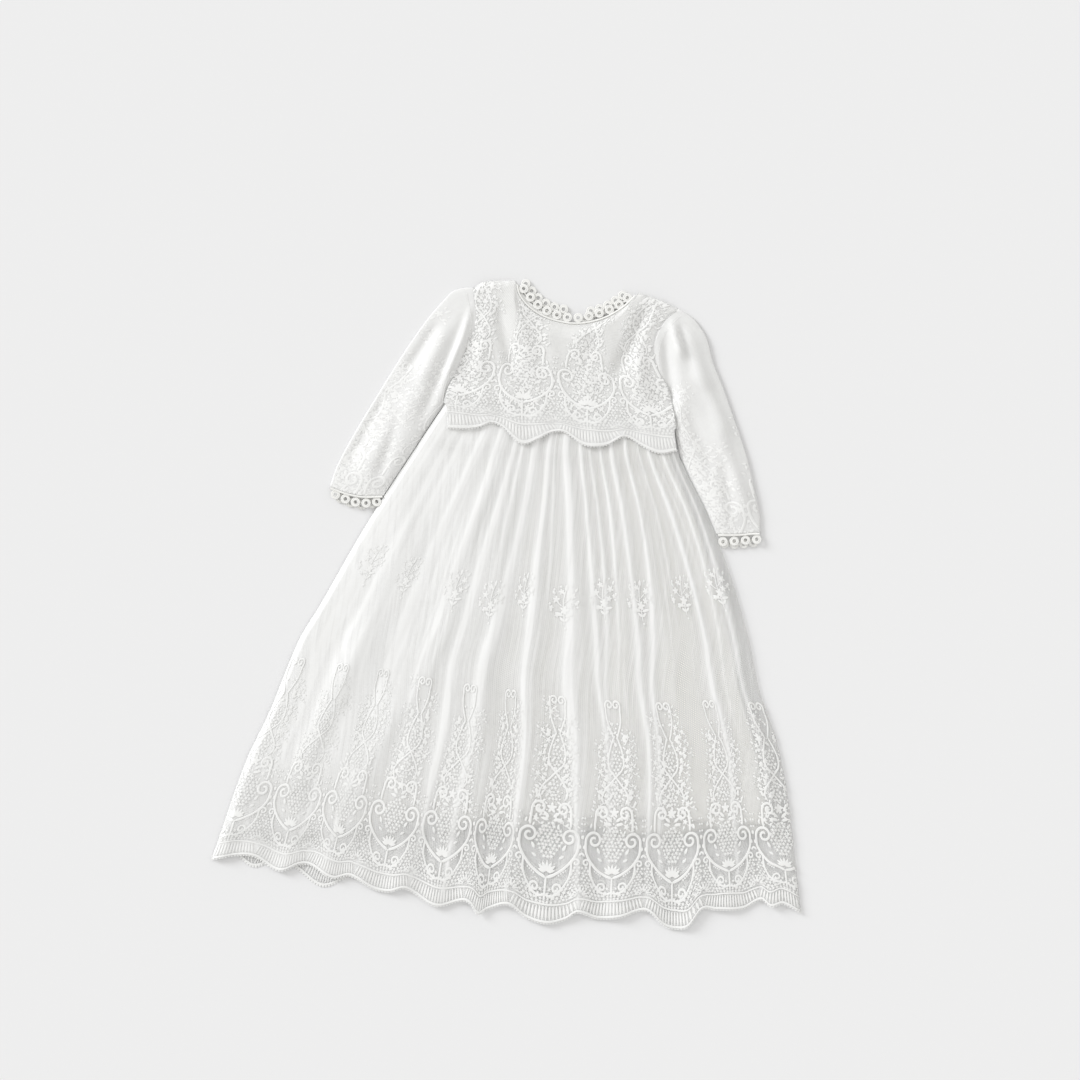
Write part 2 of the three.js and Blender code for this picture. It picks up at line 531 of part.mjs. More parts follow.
function sleeve(name, side, edges, rows) {
  const plan = (u, t) => patchPoint(edges.armhole, edges.cuff, edges.outer, edges.inner, u, t);
  const points = [];
  // Each section is two loops of the same size: the outside of the cloth, then its inside.
  const loop = (t, inwards) => {
    const a = plan(0, t);
    const b = plan(1, t);
    const width = Math.hypot(b[0] - a[0], b[1] - a[1]);
    const radius = SLEEVE_EDGE / 2 - inwards;
    const rim = inwards / width;
    const cap = radius / width;
    const heights = smoothstep(0, 0.1, t) * smoothstep(0, 0.14, 1 - t);
    const section = [];
    const topAt = (u) => {
      const [x, y] = plan(u, t);
      const swell = (SLEEVE_HEIGHT - SLEEVE_EDGE - 1.0) * Math.sin(Math.PI * clamp(u, 0, 1)) ** 0.8;
      const cuffLift = 1.2 * Math.sin(Math.PI * clamp(u, 0, 1)) ** 0.6;
      return SLEEVE_EDGE + mix(cuffLift, swell + creases(rows, x, y), heights);
    };
    const put = (u, z) => {
      const [x, y] = plan(u, t);
      section.push([x, y, z]);
    };
    for (let i = 0; i <= 2; i += 1) {
      const angle = -Math.PI / 2 + (i / 2) * -Math.PI;
      put(rim + cap * (1 + Math.cos(angle)), SLEEVE_EDGE / 2 + radius * Math.sin(angle));
    }
    for (let i = 1; i < RING_POINTS; i += 1) {
      const u = mix(rim + cap, 1 - rim - cap, i / RING_POINTS);
      const low = SLEEVE_EDGE;
      const lift = topAt(u) - low;
      put(u, low - inwards + lift);
    }
    for (let i = 0; i <= 2; i += 1) {
      const angle = Math.PI / 2 - (i / 2) * Math.PI;
      put(1 - rim - cap * (1 - Math.cos(angle)), SLEEVE_EDGE / 2 + radius * Math.sin(angle));
    }
    for (let i = 1; i < 5; i += 1) {
      put(mix(1 - rim - cap, rim + cap, i / 5), inwards);
    }
    return section;
  };
  for (let j = 0; j <= SLEEVE_SECTIONS; j += 1) points.push(...loop(j / SLEEVE_SECTIONS, 0));
  const inside = points.length;
  for (let j = 0; j <= SLEEVE_SECTIONS; j += 1) points.push(...loop(j / SLEEVE_SECTIONS, WALL));
  const around = inside / (SLEEVE_SECTIONS + 1);
  const triangles = [];
  const quad = (a, b, c, d) => {
    if (side > 0) triangles.push(a, c, b, a, d, c);
    else triangles.push(a, b, c, a, c, d);
  };
  for (let k = 0; k < around; k += 1) {
    const next = (k + 1) % around;
    for (let j = 0; j < SLEEVE_SECTIONS; j += 1) {
      const a = j * around;
      quad(a + k, a + around + k, a + around + next, a + next);
      quad(inside + a + k, inside + a + next, inside + a + around + next, inside + a + around + k);
    }
    const last = SLEEVE_SECTIONS * around;
    quad(k, next, inside + next, inside + k);
    quad(last + k, inside + last + k, inside + last + next, last + next);
  }
  return solid(name, points, triangles, satin);
}

const leftEdges = sleeveEdges(-1, sleeves.left, curves.bodyLeft, curves.skirtLeft);
const rightEdges = sleeveEdges(1, sleeves.right, curves.bodyRight, curves.skirtRight);
gown.add(sleeve('sleeve_left', -1, leftEdges, sleeveCreases.left));
gown.add(sleeve('sleeve_right', 1, rightEdges, sleeveCreases.right));

// Ring lace round the neck and the cuffs.

const seams = {
  neckFront: curves.neckFront,
  neckBack: curves.neckBack,
  cuffLeft: leftEdges.cuff,
  cuffRight: rightEdges.cuff,
};

// A row of lace rings on a narrow binding, cut as one plan outline with a hole in every ring.
function ringTrim(row) {
  const seam = seams[row.seam];
  const centreLine = smoothCurve(row.centres);
  const shape = new THREE.Shape();
  const seamSteps = 2 * row.count;
  for (let i = 0; i <= seamSteps; i += 1) {
    const share = mix(row.from, row.to, i / seamSteps);
    const [x, y] = seam(share);
    const [ax, ay] = seam(share - 0.01);
    const [bx, by] = seam(share + 0.01);
    const length = Math.hypot(bx - ax, by - ay);
    const nx = (-(by - ay) / length) * row.out * (bx > ax ? 1 : -1);
    const ny = ((bx - ax) / length) * row.out * (bx > ax ? 1 : -1);
    const point = [x + nx * TRIM_GAP, y + ny * TRIM_GAP];
    if (i === 0) shape.moveTo(...point);
    else shape.lineTo(...point);
  }
  const rings = [];
  for (let i = 0; i < row.count; i += 1) rings.push(centreLine(i / (row.count - 1)));
  const forward = centreLine(1)[0] > centreLine(0)[0] ? 1 : -1;
  for (let i = row.count - 1; i >= 0; i -= 1) {
    const a = rings[Math.max(0, i - 1)];
    const b = rings[Math.min(row.count - 1, i + 1)];
    const heading = Math.atan2(b[1] - a[1], b[0] - a[0]);
    const outwards = heading + (Math.PI / 2) * row.out * forward;
    const turn = row.out * forward;
    const sweep = 1.35;
    for (let k = 0; k <= 6; k += 1) {
      const angle = outwards - turn * mix(sweep, -sweep, k / 6);
      shape.lineTo(rings[i][0] + RING_RADIUS * Math.cos(angle), rings[i][1] + RING_RADIUS * Math.sin(angle));
    }
  }
  shape.closePath();
  for (const [x, y] of rings) {
    const hole = new THREE.Path();
    for (let k = 0; k < 8; k += 1) {
      const angle = (k / 8) * 2 * Math.PI;
      const point = [x + RING_HOLE_RADIUS * Math.cos(angle), y + RING_HOLE_RADIUS * Math.sin(angle)];
      if (k === 0) hole.moveTo(...point);
      else hole.lineTo(...point);
    }
    hole.closePath();
    shape.holes.push(hole);
  }
  const settings = { depth: TRIM_WALL, bevelEnabled: false, curveSegments: 1 };
  const geometry = new THREE.ExtrudeGeometry(shape, settings);
  geometry.translate(0, 0, row.level);
  const mesh = new THREE.Mesh(geometry, guipure);
  mesh.name = row.name;
  return mesh;
}

for (const row of ringRows) gown.add(ringTrim(row));

// The part's origin is the bottom centre of its box.
const box = new THREE.Box3().setFromObject(gown);
const centre = box.getCenter(new THREE.Vector3());
for (const piece of gown.children) piece.position.set(-centre.x, -centre.y, -box.min.z);

export default gown;
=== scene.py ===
"""Dresses the christening gown: satin, embroidered net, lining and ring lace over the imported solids."""

import json
import math

import bpy
import numpy as np
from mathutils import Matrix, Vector

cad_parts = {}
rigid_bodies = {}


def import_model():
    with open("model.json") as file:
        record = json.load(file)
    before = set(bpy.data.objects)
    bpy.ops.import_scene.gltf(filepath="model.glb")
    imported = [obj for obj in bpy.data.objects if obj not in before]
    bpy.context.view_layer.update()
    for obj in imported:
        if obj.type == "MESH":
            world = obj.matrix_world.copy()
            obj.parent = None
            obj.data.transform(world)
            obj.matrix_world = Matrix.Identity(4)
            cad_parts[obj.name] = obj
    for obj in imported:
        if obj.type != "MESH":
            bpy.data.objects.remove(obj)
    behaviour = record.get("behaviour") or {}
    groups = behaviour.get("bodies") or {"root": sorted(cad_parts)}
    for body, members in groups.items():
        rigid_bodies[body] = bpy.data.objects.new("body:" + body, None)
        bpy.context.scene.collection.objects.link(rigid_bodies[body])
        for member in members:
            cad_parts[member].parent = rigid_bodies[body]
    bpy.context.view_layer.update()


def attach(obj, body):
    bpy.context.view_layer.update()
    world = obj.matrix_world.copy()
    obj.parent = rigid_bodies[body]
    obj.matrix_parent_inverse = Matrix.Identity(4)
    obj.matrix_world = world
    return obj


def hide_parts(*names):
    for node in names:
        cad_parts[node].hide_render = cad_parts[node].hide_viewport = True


bl_info = {
    "name": "Christening gown",
    "version": (1, 0, 0),
    "blender": (4, 5, 0),
    "location": "3D View > Sidebar > Gown",
    "description": "Makes the cloth, the embroidery and the trims of a christening gown laid flat",
    "category": "Object",
}

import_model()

# Millimetres from the drafting origin, the middle of the waist seam, to the part's own origin.
ORIGIN_X = 5.1
ORIGIN_Y = 205.204
# How far one layer lies above the next, and how far the cloths run on below the waist seam.
LAYER = 1.3
SEAM_ALLOWANCE = 6
# Widths and lengths of the laid skirt and bodice that folds, shares and embroidery are counted by.
WAIST_WIDTH = 252
HEM_WIDTH = 649
SKIRT_LENGTH = 540
WORKED_LENGTH = 530
SPRIG_LENGTH = 525
BODICE_LENGTH = 142
# How far a cloth's upper face lies above the underside of its layer, on the front and on the back.
FACE_UP = 0.5
BACK_FACE_UP = 0.45
# Walls of the drawn cloths, and how far the stitches are lifted off them, in metres.
NET_WALL = 0.0004
SATIN_WALL = 0.0005
SLEEVE_WALL = 0.0003
WORK_LIFT = 0.0003
GROUND_LIFT = 0.0002
FLAT_LIFT = 0.0001

# Outlines in millimetres, from the neck downwards or from left to right.
SHOULDER_LEFT = [(-107.7, 130.3), (-99.6, 137.7), (-64.6, 143.2)]
NECK_FRONT = [(-64.6, 143.2), (-58.7, 126.6), (-43.9, 112.6), (-23.1, 103.8), (5.9, 101.3), (32.8, 108.5),
              (53.6, 121.8), (67.5, 136.5), (71.6, 143.6)]
NECK_BACK = [(-64.6, 143.2), (-54.6, 130.2), (-38.5, 116.8), (-20.0, 110.4), (5.9, 108.2), (29.5, 112.4),
             (50.5, 124.6), (65.5, 138.2), (71.6, 143.6)]
SHOULDER_RIGHT = [(71.6, 143.6), (98.4, 137.5), (116.8, 130.6)]
BODY_LEFT = [(-107.7, 130.3), (-101.3, 95.5), (-107.9, 69.4), (-115.8, 39.3), (-122.7, 20.3), (-126.2, 1.1)]
BODY_RIGHT = [(116.8, 130.6), (106.3, 121.5), (96.5, 104.0), (94.0, 85.0), (100.0, 63.0), (111.5, 45.0),
              (118.5, 28.0), (126.1, 0.0)]
WAIST = [(-126.2, 1.1), (-62.0, -1.6), (0.0, -2.6), (62.0, -1.8), (126.1, 0.0)]
SKIRT_LEFT = [(-126.2, 1.1), (-147.4, -39.3), (-173.5, -89.7), (-202.4, -147.4), (-240.8, -234.4),
              (-259.8, -275.1), (-284.2, -358.4), (-304.2, -415.2), (-329.8, -524.6)]
SKIRT_RIGHT = [(126.1, 0.0), (136.0, -31.1), (172.0, -89.2), (202.7, -150.1), (232.5, -223.3),
               (249.1, -275.8), (275.0, -332.8), (294.6, -398.2), (319.6, -515.0)]

# Lower edges: the even sweep of the hem, and the scalloped line that is cut.
HEM_SWEEP = [(-329.8, -521), (-200, -527), (-135, -537), (0, -546), (92, -547), (190, -536),
             (254, -518), (319.6, -513)]
HEM_FRONT = [(-329.8, -524.6), (-303, -517), (-283, -516.4), (-255, -529), (-233, -519.5), (-221, -519.5),
             (-196, -531), (-177, -526.3), (-150, -538), (-133, -539.5), (-114.6, -534.1), (-80, -549.7),
             (-50.5, -540.6), (-41, -544), (-32.8, -553.9), (-24, -548), (-0.8, -539.8), (20.4, -552),
             (44.1, -556.1), (63.3, -549.7), (76, -540.5), (98.2, -544.9), (121.7, -541.3), (150.9, -530.5),
             (172.3, -544.9), (185.8, -547.3), (198.7, -543.2), (211, -523), (228.4, -521.3), (256.8, -517.2),
             (275.4, -505.3), (287.2, -511.8), (299.5, -507.2), (319.6, -515)]
HEM_BACK = [(-329.8, -521.5), (-306, -516), (-284, -528.1), (-262, -519), (-238, -524), (-206, -541.5),
            (-174, -527), (-140, -535), (-108, -530), (-74, -543), (-42, -537), (-5, -536), (28, -545),
            (62, -542), (84, -536.5), (108, -539), (142, -528), (178, -541), (208, -520), (240, -516),
            (272, -502.5), (319.6, -511)]
OVERLAY_HEM = [(-121.4, -25.3), (-102.1, -24), (-87, -20.6), (-74, -14.4), (-60, -18.5), (-39, -34),
               (-20.5, -26.3), (-8, -18.2), (7.3, -16.6), (28.4, -28), (41.7, -28.8), (55.2, -25.2),
               (73.4, -14.4), (97.7, -24.6), (113.6, -28.7), (130.8, -23.9)]
LINING_HEM_FRONT = [(-320, -480), (-218.5, -472), (-120, -458), (0, -446), (74.2, -436), (170, -432),
                    (310, -420)]
LINING_HEM_BACK = [(-320, -470), (-150, -462), (0, -452), (150, -446), (310, -428)]

# Where one scallop of the skirt's border ends and the next starts, as x along the hem.
SKIRT_NOTCHES = [-352, -285, -228, -174, -112, -50.5, -0.8, 77, 148, 214, 273, 340]
OVERLAY_NOTCHES = [-147, -74, 0, 70, 141]
# How many repeats the border has on each, and the width of one repeat as it is drawn.
SKIRT_REPEATS = 11
OVERLAY_REPEATS = 4
BORDER_PITCH = 70.0
# Ends of the waist, of the skirt's hem, of the overlay's hem and of the front lining's hem.
WAIST_ENDS = (WAIST[0][0], WAIST[-1][0])
HEM_ENDS = (HEM_SWEEP[0][0], HEM_SWEEP[-1][0])
OVERLAY_ENDS = (OVERLAY_HEM[0][0], OVERLAY_HEM[-1][0])
LINING_ENDS = (LINING_HEM_FRONT[0][0], LINING_HEM_FRONT[-1][0])
# Millimetres above the lower edge that make one unit of the cloth's own map.
SKIRT_UP = 560.0
OVERLAY_UP = 200.0
# Pitches of the beads along a scalloped edge, of the small sprays between the repeats, and the places
# of the sprigs.
PICOT_STEP = 3.3
SPRAY_PITCH = 12.5
SPRIGS = [(-146.1, -199.0), (-92.4, -204.4), (-53.0, -211.3), (-18.0, -199.0), (26.2, -207.4), (67.7, -196.0),
          (107.6, -196.2), (152.8, -190.0), (190.0, -180.0), (-186.0, -190.0)]

SLEEVE_LEFT_OUTER = [(-107.7, 130.3), (-117.6, 129.2), (-131.7, 123.8), (-141.5, 111.8), (-157.5, 88.5),
                     (-182, 43.3), (-209, -12.7), (-224.2, -45.7), (-238.5, -81.5), (-243.5, -104.1)]
SLEEVE_RIGHT_OUTER = [(116.8, 130.6), (127, 126.5), (137.6, 119.5), (152, 101.1), (162.1, 74.9),
                      (174.4, 51.5), (193.5, 11.5), (209.3, -23.4), (220.1, -54.3), (229.3, -83.2),
                      (232.8, -104.9)]
CUFF_LEFT = [(-243.5, -104.1), (-224.2, -108.7), (-206.3, -110.2)]
CUFF_RIGHT = [(232.8, -104.9), (221, -106.3), (208.3, -108.8)]

# Long folds of the skirt. Each row holds the fold's place as a share of the skirt's width at the
# waist, a quarter, a half, three quarters and the hem, then where it starts and ends down the skirt,
# its height, and how far its left and right flanks reach at the hem, in millimetres.
SKIRT_FOLDS = [
    (0.06, 0.075, 0.07, 0.06, 0.055, -0.1, 1.2, 4.0, 26, 18),
    (0.125, 0.12, 0.125, 0.115, 0.12, -0.1, 1.2, 5.0, 34, 14),
    (0.255, 0.2, 0.19, 0.17, 0.17, -0.1, 0.7, 4.5, 34, 16),
    (0.31, 0.3, 0.305, 0.222, 0.228, -0.1, 1.2, 6.4, 44, 17),
    (0.385, 0.39, 0.357, 0.336, 0.331, 0.3, 1.2, 5.4, 36, 17),
    (0.41, 0.388, 0.404, 0.421, 0.456, -0.1, 1.2, 7.0, 46, 16),
    (0.505, 0.487, 0.506, 0.512, 0.51, -0.1, 1.2, 5.4, 24, 24),
    (0.552, 0.571, 0.62, 0.625, 0.625, -0.1, 1.2, 6.6, 32, 22),
    (0.612, 0.632, 0.692, 0.7, 0.7, -0.1, 0.5, 5.0, 14, 24),
    (0.719, 0.72, 0.713, 0.705, 0.71, -0.1, 1.2, 6.8, 20, 38),
    (0.803, 0.789, 0.815, 0.828, 0.835, -0.1, 1.2, 6.4, 16, 38),
    (0.849, 0.868, 0.88, 0.89, 0.89, -0.1, 0.35, 4.5, 12, 20),
    (0.949, 0.94, 0.953, 0.955, 0.955, -0.1, 1.2, 4.0, 12, 22),
]

# Gathers that run out of the waist seam: share across at the waist, share across at four tenths of
# the length, where the gather ends down the skirt, its height and its half-width in millimetres.
GATHERS = [
    (0.012, 0.02, 0.5, 1.3, 3.0),
    (0.06, 0.055, 0.9, 1.8, 3.4),
    (0.105, 0.1, 0.45, 1.2, 2.6),
    (0.15, 0.14, 1.15, 2.0, 3.2),
    (0.22, 0.204, 1.15, 2.6, 3.2),
    (0.284, 0.27, 0.8, 2.1, 3.0),
    (0.345, 0.339, 1.15, 2.6, 3.0),
    (0.385, 0.375, 0.5, 1.3, 2.4),
    (0.43, 0.407, 1.2, 3.2, 3.4),
    (0.475, 0.49, 1.15, 2.8, 3.0),
    (0.505, 0.52, 0.55, 1.3, 2.2),
    (0.535, 0.584, 1.2, 3.4, 3.8),
    (0.596, 0.644, 1.1, 2.3, 2.8),
    (0.64, 0.665, 0.9, 1.7, 2.4),
    (0.674, 0.7, 0.6, 1.9, 2.6),
    (0.726, 0.738, 1.15, 2.6, 3.0),
    (0.787, 0.773, 1.1, 2.3, 2.8),
    (0.83, 0.84, 0.5, 1.4, 2.4),
    (0.878, 0.892, 1.15, 2.6, 3.0),
    (0.93, 0.93, 0.7, 1.7, 2.6),
    (0.975, 0.965, 1.0, 1.5, 2.6),
]

# How high the folds and the gathers stand against the rows above.
FOLD_SCALE = 0.34
GATHER_SCALE = 0.14
# Fainter gathers between the charted ones: those that start at the waist and those that start below.
FAINT_GATHERS = 46
LOOSE_GATHERS = 90

# Soft creases: start, end, height and half-width in millimetres.
BODICE_CREASES = [
    ((-79, 108), (-58, 46), -2.6, 7),
    ((-66, 116), (-40, 56), 1.4, 9),
    ((86, 130), (56, 50), -3.2, 9),
    ((93, 122), (82, 44), 2.2, 9),
    ((-96, 112), (-96, 40), 1.8, 9),
    ((-22, 96), (-14, 40), 0.9, 8),
    ((30, 96), (18, 44), -0.9, 8),
    ((104, 50), (70, 8), 1.0, 12),
]
SKIRT_CREASES = [
    ((-150, -120), (-215, -330), 1.8, 15),
    ((-120, -150), (-175, -380), -1.5, 12),
    ((-180, -250), (-250, -430), 1.5, 15),
    ((-97, -230), (-132, -430), 1.3, 11),
    ((-60, -60), (-110, -200), 1.0, 10),
    ((170, -260), (215, -430), -1.6, 13),
    ((60, -240), (74, -400), -1.1, 12),
    ((226, -270), (262, -420), 1.2, 12),
]
SLEEVE_LEFT_CREASES = [
    ((-114, 94), (-150, -14), -1.8, 6.5),
    ((-136, 78), (-156, 22), 1.7, 8),
    ((-147, 82), (-172, 34), -1.2, 5),
    ((-106, 116), (-128, 32), 2.0, 4),
    ((-160, 10), (-206, -80), 1.2, 10),
    ((-176, -16), (-192, -92), -1.3, 7),
    ((-196, 0), (-226, -76), -0.8, 6),
]
SLEEVE_RIGHT_CREASES = [
    ((109, 119), (126, 82), 3.4, 4.2),
    ((104, 98), (122, 28), -3.0, 7.5),
    ((130, 102), (152, 50), 1.5, 10),
    ((120, 112), (138, 66), -1.0, 5),
    ((148, 62), (186, -2), 1.6, 8),
    ((140, 20), (172, -40), -1.3, 8),
    ((170, 10), (213, -74), 1.5, 8),
    ((184, -30), (201, -98), -1.2, 7),
]

# Rows of lace rings: name, height, number of rings, and points of the line through their centres.
RING_ROWS = [
    ("neck_trim_front", 3.2, 12,
     [(-54.2, 134.8), (-38.3, 119.6), (-17.1, 110.4), (6.9, 108.9), (30.4, 116.4), (48.5, 125.8),
      (60.2, 136.6)]),
    ("neck_trim_back_left", 1.0, 6,
     [(-52.5, 140.5), (-40, 128.5), (-29.4, 121.9), (-19.3, 118.6), (-8.3, 117)]),
    ("neck_trim_back_right", 1.0, 5, [(21.8, 118.2), (32.4, 122.3), (43.5, 129.2), (54.8, 139)]),
    ("cuff_trim_left_front", 3.2, 5, [(-236.2, -112), (-222, -116.2), (-206.5, -118.2), (-190.4, -115)]),
    ("cuff_trim_left_back", 0.3, 4, [(-231, -115.5), (-219, -119), (-206.5, -120.2), (-195, -117.5)]),
    ("cuff_trim_right_front", 3.2, 4, [(229.2, -112.4), (217.5, -114.6), (204.6, -117), (192.6, -118.8)]),
    ("cuff_trim_right_back", 0.3, 4, [(226, -116.4), (214.4, -119), (202.5, -120.8), (194.8, -121)]),
]


def smoothstep(low, high, value):
    share = np.clip((np.asarray(value, float) - low) / (high - low), 0, 1)
    return share * share * (3 - 2 * share)


def mix(a, b, share):
    return a + (b - a) * share


def smooth_table(rows):
    """A smooth function of one number through a short table of (number, value) rows."""
    xs, ys = np.array(rows, float).T
    ahead = np.minimum(np.arange(len(xs)) + 1, len(xs) - 1)
    behind = np.maximum(np.arange(len(xs)) - 1, 0)
    slopes = (ys[ahead] - ys[behind]) / (xs[ahead] - xs[behind])

    def at(x):
        x = np.asarray(x, float)
        i = np.clip(np.searchsorted(xs, x, side="left") - 1, 0, len(xs) - 2)
        span = xs[i + 1] - xs[i]
        u = np.clip((x - xs[i]) / span, 0, 1)
        middle = mix(ys[i], ys[i + 1], u * u * (3 - 2 * u))
        return middle + u * (1 - u) ** 2 * span * slopes[i] + u * u * (u - 1) * span * slopes[i + 1]

    return at


def smooth_curve(points):
    """A smooth curve through points: gives x and y at a share of its length."""
    points = np.array(points, float)
    steps = np.hypot(*np.diff(points, axis=0).T)
    along = np.concatenate([[0], np.cumsum(steps)])
    tables = [smooth_table(list(zip(along, points[:, axis]))) for axis in (0, 1)]

    def at(share):
        length = np.asarray(share, float) * along[-1]
        return tuple(table(length) for table in tables)

    return at


def stretch_of(curve, start, end, steps, dx):
    """Points along a part of a curve, moved sideways."""
    x, y = curve(np.linspace(start, end, steps + 1))
    return [(a + dx, b) for a, b in zip(x, y)]


def patch_point(top, bottom, left, right, s, t):
    """Points of the plan patch between four boundary curves."""
    out = []
    for axis in (0, 1):
        across = mix(top(s)[axis], bottom(s)[axis], t)
        down = mix(left(t)[axis], right(t)[axis], s)
        corner_top = mix(top(0.0)[axis], top(1.0)[axis], s)
        corner_bottom = mix(bottom(0.0)[axis], bottom(1.0)[axis], s)
        out.append(across + down - mix(corner_top, corner_bottom, t))
    return out


def crease_height(rows, x, y):
    """Height of soft creases at places of the plan."""
    total = np.zeros_like(x)
    for (x0, y0), (x1, y1), rise, reach in rows:
        dx, dy = x1 - x0, y1 - y0
        length = math.hypot(dx, dy)
        along = ((x - x0) * dx + (y - y0) * dy) / length**2
        across = ((x - x0) * dy - (y - y0) * dx) / length
        fade = smoothstep(-0.25, 0.2, along) * (1 - smoothstep(0.8, 1.25, along))
        total = total + rise * fade * np.exp(-((across / reach) ** 2))
    return total


shoulder_left = smooth_curve(SHOULDER_LEFT)
shoulder_right = smooth_curve(SHOULDER_RIGHT)
neck_front = smooth_curve(NECK_FRONT)
neck_back = smooth_curve(NECK_BACK)
body_left = smooth_curve(BODY_LEFT)
body_right = smooth_curve(BODY_RIGHT)
waist_line = smooth_curve(WAIST)
skirt_left = smooth_curve(SKIRT_LEFT)
skirt_right = smooth_curve(SKIRT_RIGHT)
hem_sweep_at = smooth_table(HEM_SWEEP)
hem_front_at = smooth_table(HEM_FRONT)
hem_back_at = smooth_table(HEM_BACK)
overlay_hem_at = smooth_table(OVERLAY_HEM)
lining_front_at = smooth_table(LINING_HEM_FRONT)
lining_back_at = smooth_table(LINING_HEM_BACK)
waist_at = smooth_table(WAIST)

# The neck's part of the bodice's top edge.
NECK_START = 0.2
NECK_END = 0.8
# Rows of a triangular lattice lie this share of its pitch apart.
ROW_STEP = 0.866


def top_edge(neck, s):
    """The bodice's top edge: left shoulder, neck, right shoulder."""
    s = np.asarray(s, float)
    parts = [shoulder_left(np.clip(s / NECK_START, 0, 1)),
             neck(np.clip((s - NECK_START) / (NECK_END - NECK_START), 0, 1)),
             shoulder_right(np.clip((s - NECK_END) / (1 - NECK_END), 0, 1))]
    pick = np.where(s < NECK_START, 0, np.where(s > NECK_END, 2, 1))
    return [np.choose(pick, [part[axis] for part in parts]) for axis in (0, 1)]


def bodice_plan(neck, s, t):
    """Plan of the bodice. Past t = 1 it runs on below the waist to the overlay's hem at t = 2."""
    upper = np.minimum(t, 1)
    x, y = patch_point(lambda u: top_edge(neck, u), waist_line, body_left, body_right, s, upper)
    below = np.clip(t - 1, 0, 1)
    hem_x = mix(*OVERLAY_ENDS, s)
    return mix(x, hem_x, below), mix(y, overlay_hem_at(hem_x), below)


def skirt_plan(hem_at, s, t):
    """Plan of the skirt: leaning sides, a bowed waist and hem, and scallops in the last part."""
    ax, ay = skirt_left(t)
    bx, by = skirt_right(t)
    hem_x = mix(*HEM_ENDS, s)
    sweep_left, sweep_right = HEM_SWEEP[0][1], HEM_SWEEP[-1][1]
    waist_bow = waist_at(mix(*WAIST_ENDS, s)) - mix(WAIST[0][1], WAIST[-1][1], s)
    hem_bow = hem_sweep_at(hem_x) - mix(sweep_left, sweep_right, s)
    scallop = hem_at(hem_x) - hem_sweep_at(hem_x)
    end_lift = mix(SKIRT_LEFT[-1][1] - sweep_left, SKIRT_RIGHT[-1][1] - sweep_right, s)
    end_lift = end_lift * smoothstep(0.8, 1, t)
    y = mix(ay, by, s) - end_lift + waist_bow * (1 - t) ** 2 + hem_bow * t**1.5
    return mix(ax, bx, s), y + scallop * smoothstep(0.86, 1, t)


def skirt_width(t):
    return mix(WAIST_WIDTH, HEM_WIDTH, t)


def skirt_back_under(y):
    """Height of the underside of the skirt's back, which rises over the overlay's back at the waist."""
    return LAYER * smoothstep(-54, -38, y)


def long_folds(s, t):
    """Height of the long folds of the skirt."""
    width = skirt_width(t)
    grow = mix(0.14, 1, smoothstep(0, 0.5, t))
    total = np.zeros_like(s)
    for waist, quarter, half, lower, hem, start, end, rise, left, right in SKIRT_FOLDS:
        centre = smooth_table([(0, waist), (0.25, quarter), (0.5, half), (0.75, lower), (1, hem)])(t)
        offset = (s - centre) * width
        reach = np.where(offset < 0, left, right) * mix(0.3, 1, np.sqrt(t))
        presence = smoothstep(start, start + 0.1, t) * (1 - smoothstep(end - 0.2, end, t))
        crest = np.exp(-((np.abs(offset / reach) + 0.02) ** 1.5))
        total += (rise * FOLD_SCALE * grow * presence * crest) ** 3
    return side_fade(s, width) * total ** (1 / 3)


def side_fade(s, width):
    """Lets the folds run out towards the skirt's sides."""
    return smoothstep(0, 14, s * width) * smoothstep(0, 14, (1 - s) * width)


def side_roll(inside, turned=1.0):
    """The front turns over at the skirt's sides to meet the back, as the sides of a tube do."""
    roll = np.clip(1 - inside / 5.0, 0, 1) * turned
    return 1.9 * np.sqrt(1 - roll**2) * (1 - smoothstep(10, 42, inside)) - 0.5 * roll**2


def gather_line(waist, lower, k, t):
    """The share across the skirt at which one gather runs, down the skirt."""
    return waist + (lower - waist) * t / 0.4 * (1 - 0.3 * t) + 0.004 * np.sin(8 * t + 2.3 * k)


def doubled_edges(s, t):
    """Where the net lies double along the sharp edge of a charted gather, from 0 to 1."""
    width = skirt_width(t)
    most = np.zeros_like(s)
    for k, (waist, lower, end, rise, _) in enumerate(GATHERS):
        offset = (s - gather_line(waist, lower, k, t)) * width / mix(1.0, 2.1, t)
        fade = (1 - smoothstep(0.65 * end, end, t)) * (0.8 + 0.2 * np.sin(11 * t + 1.3 * k))
        bright = min(1.0, (rise / 3.0) ** 1.6)
        most = np.maximum(most, bright * fade * np.exp(-np.abs(offset) ** 1.5))
    return most


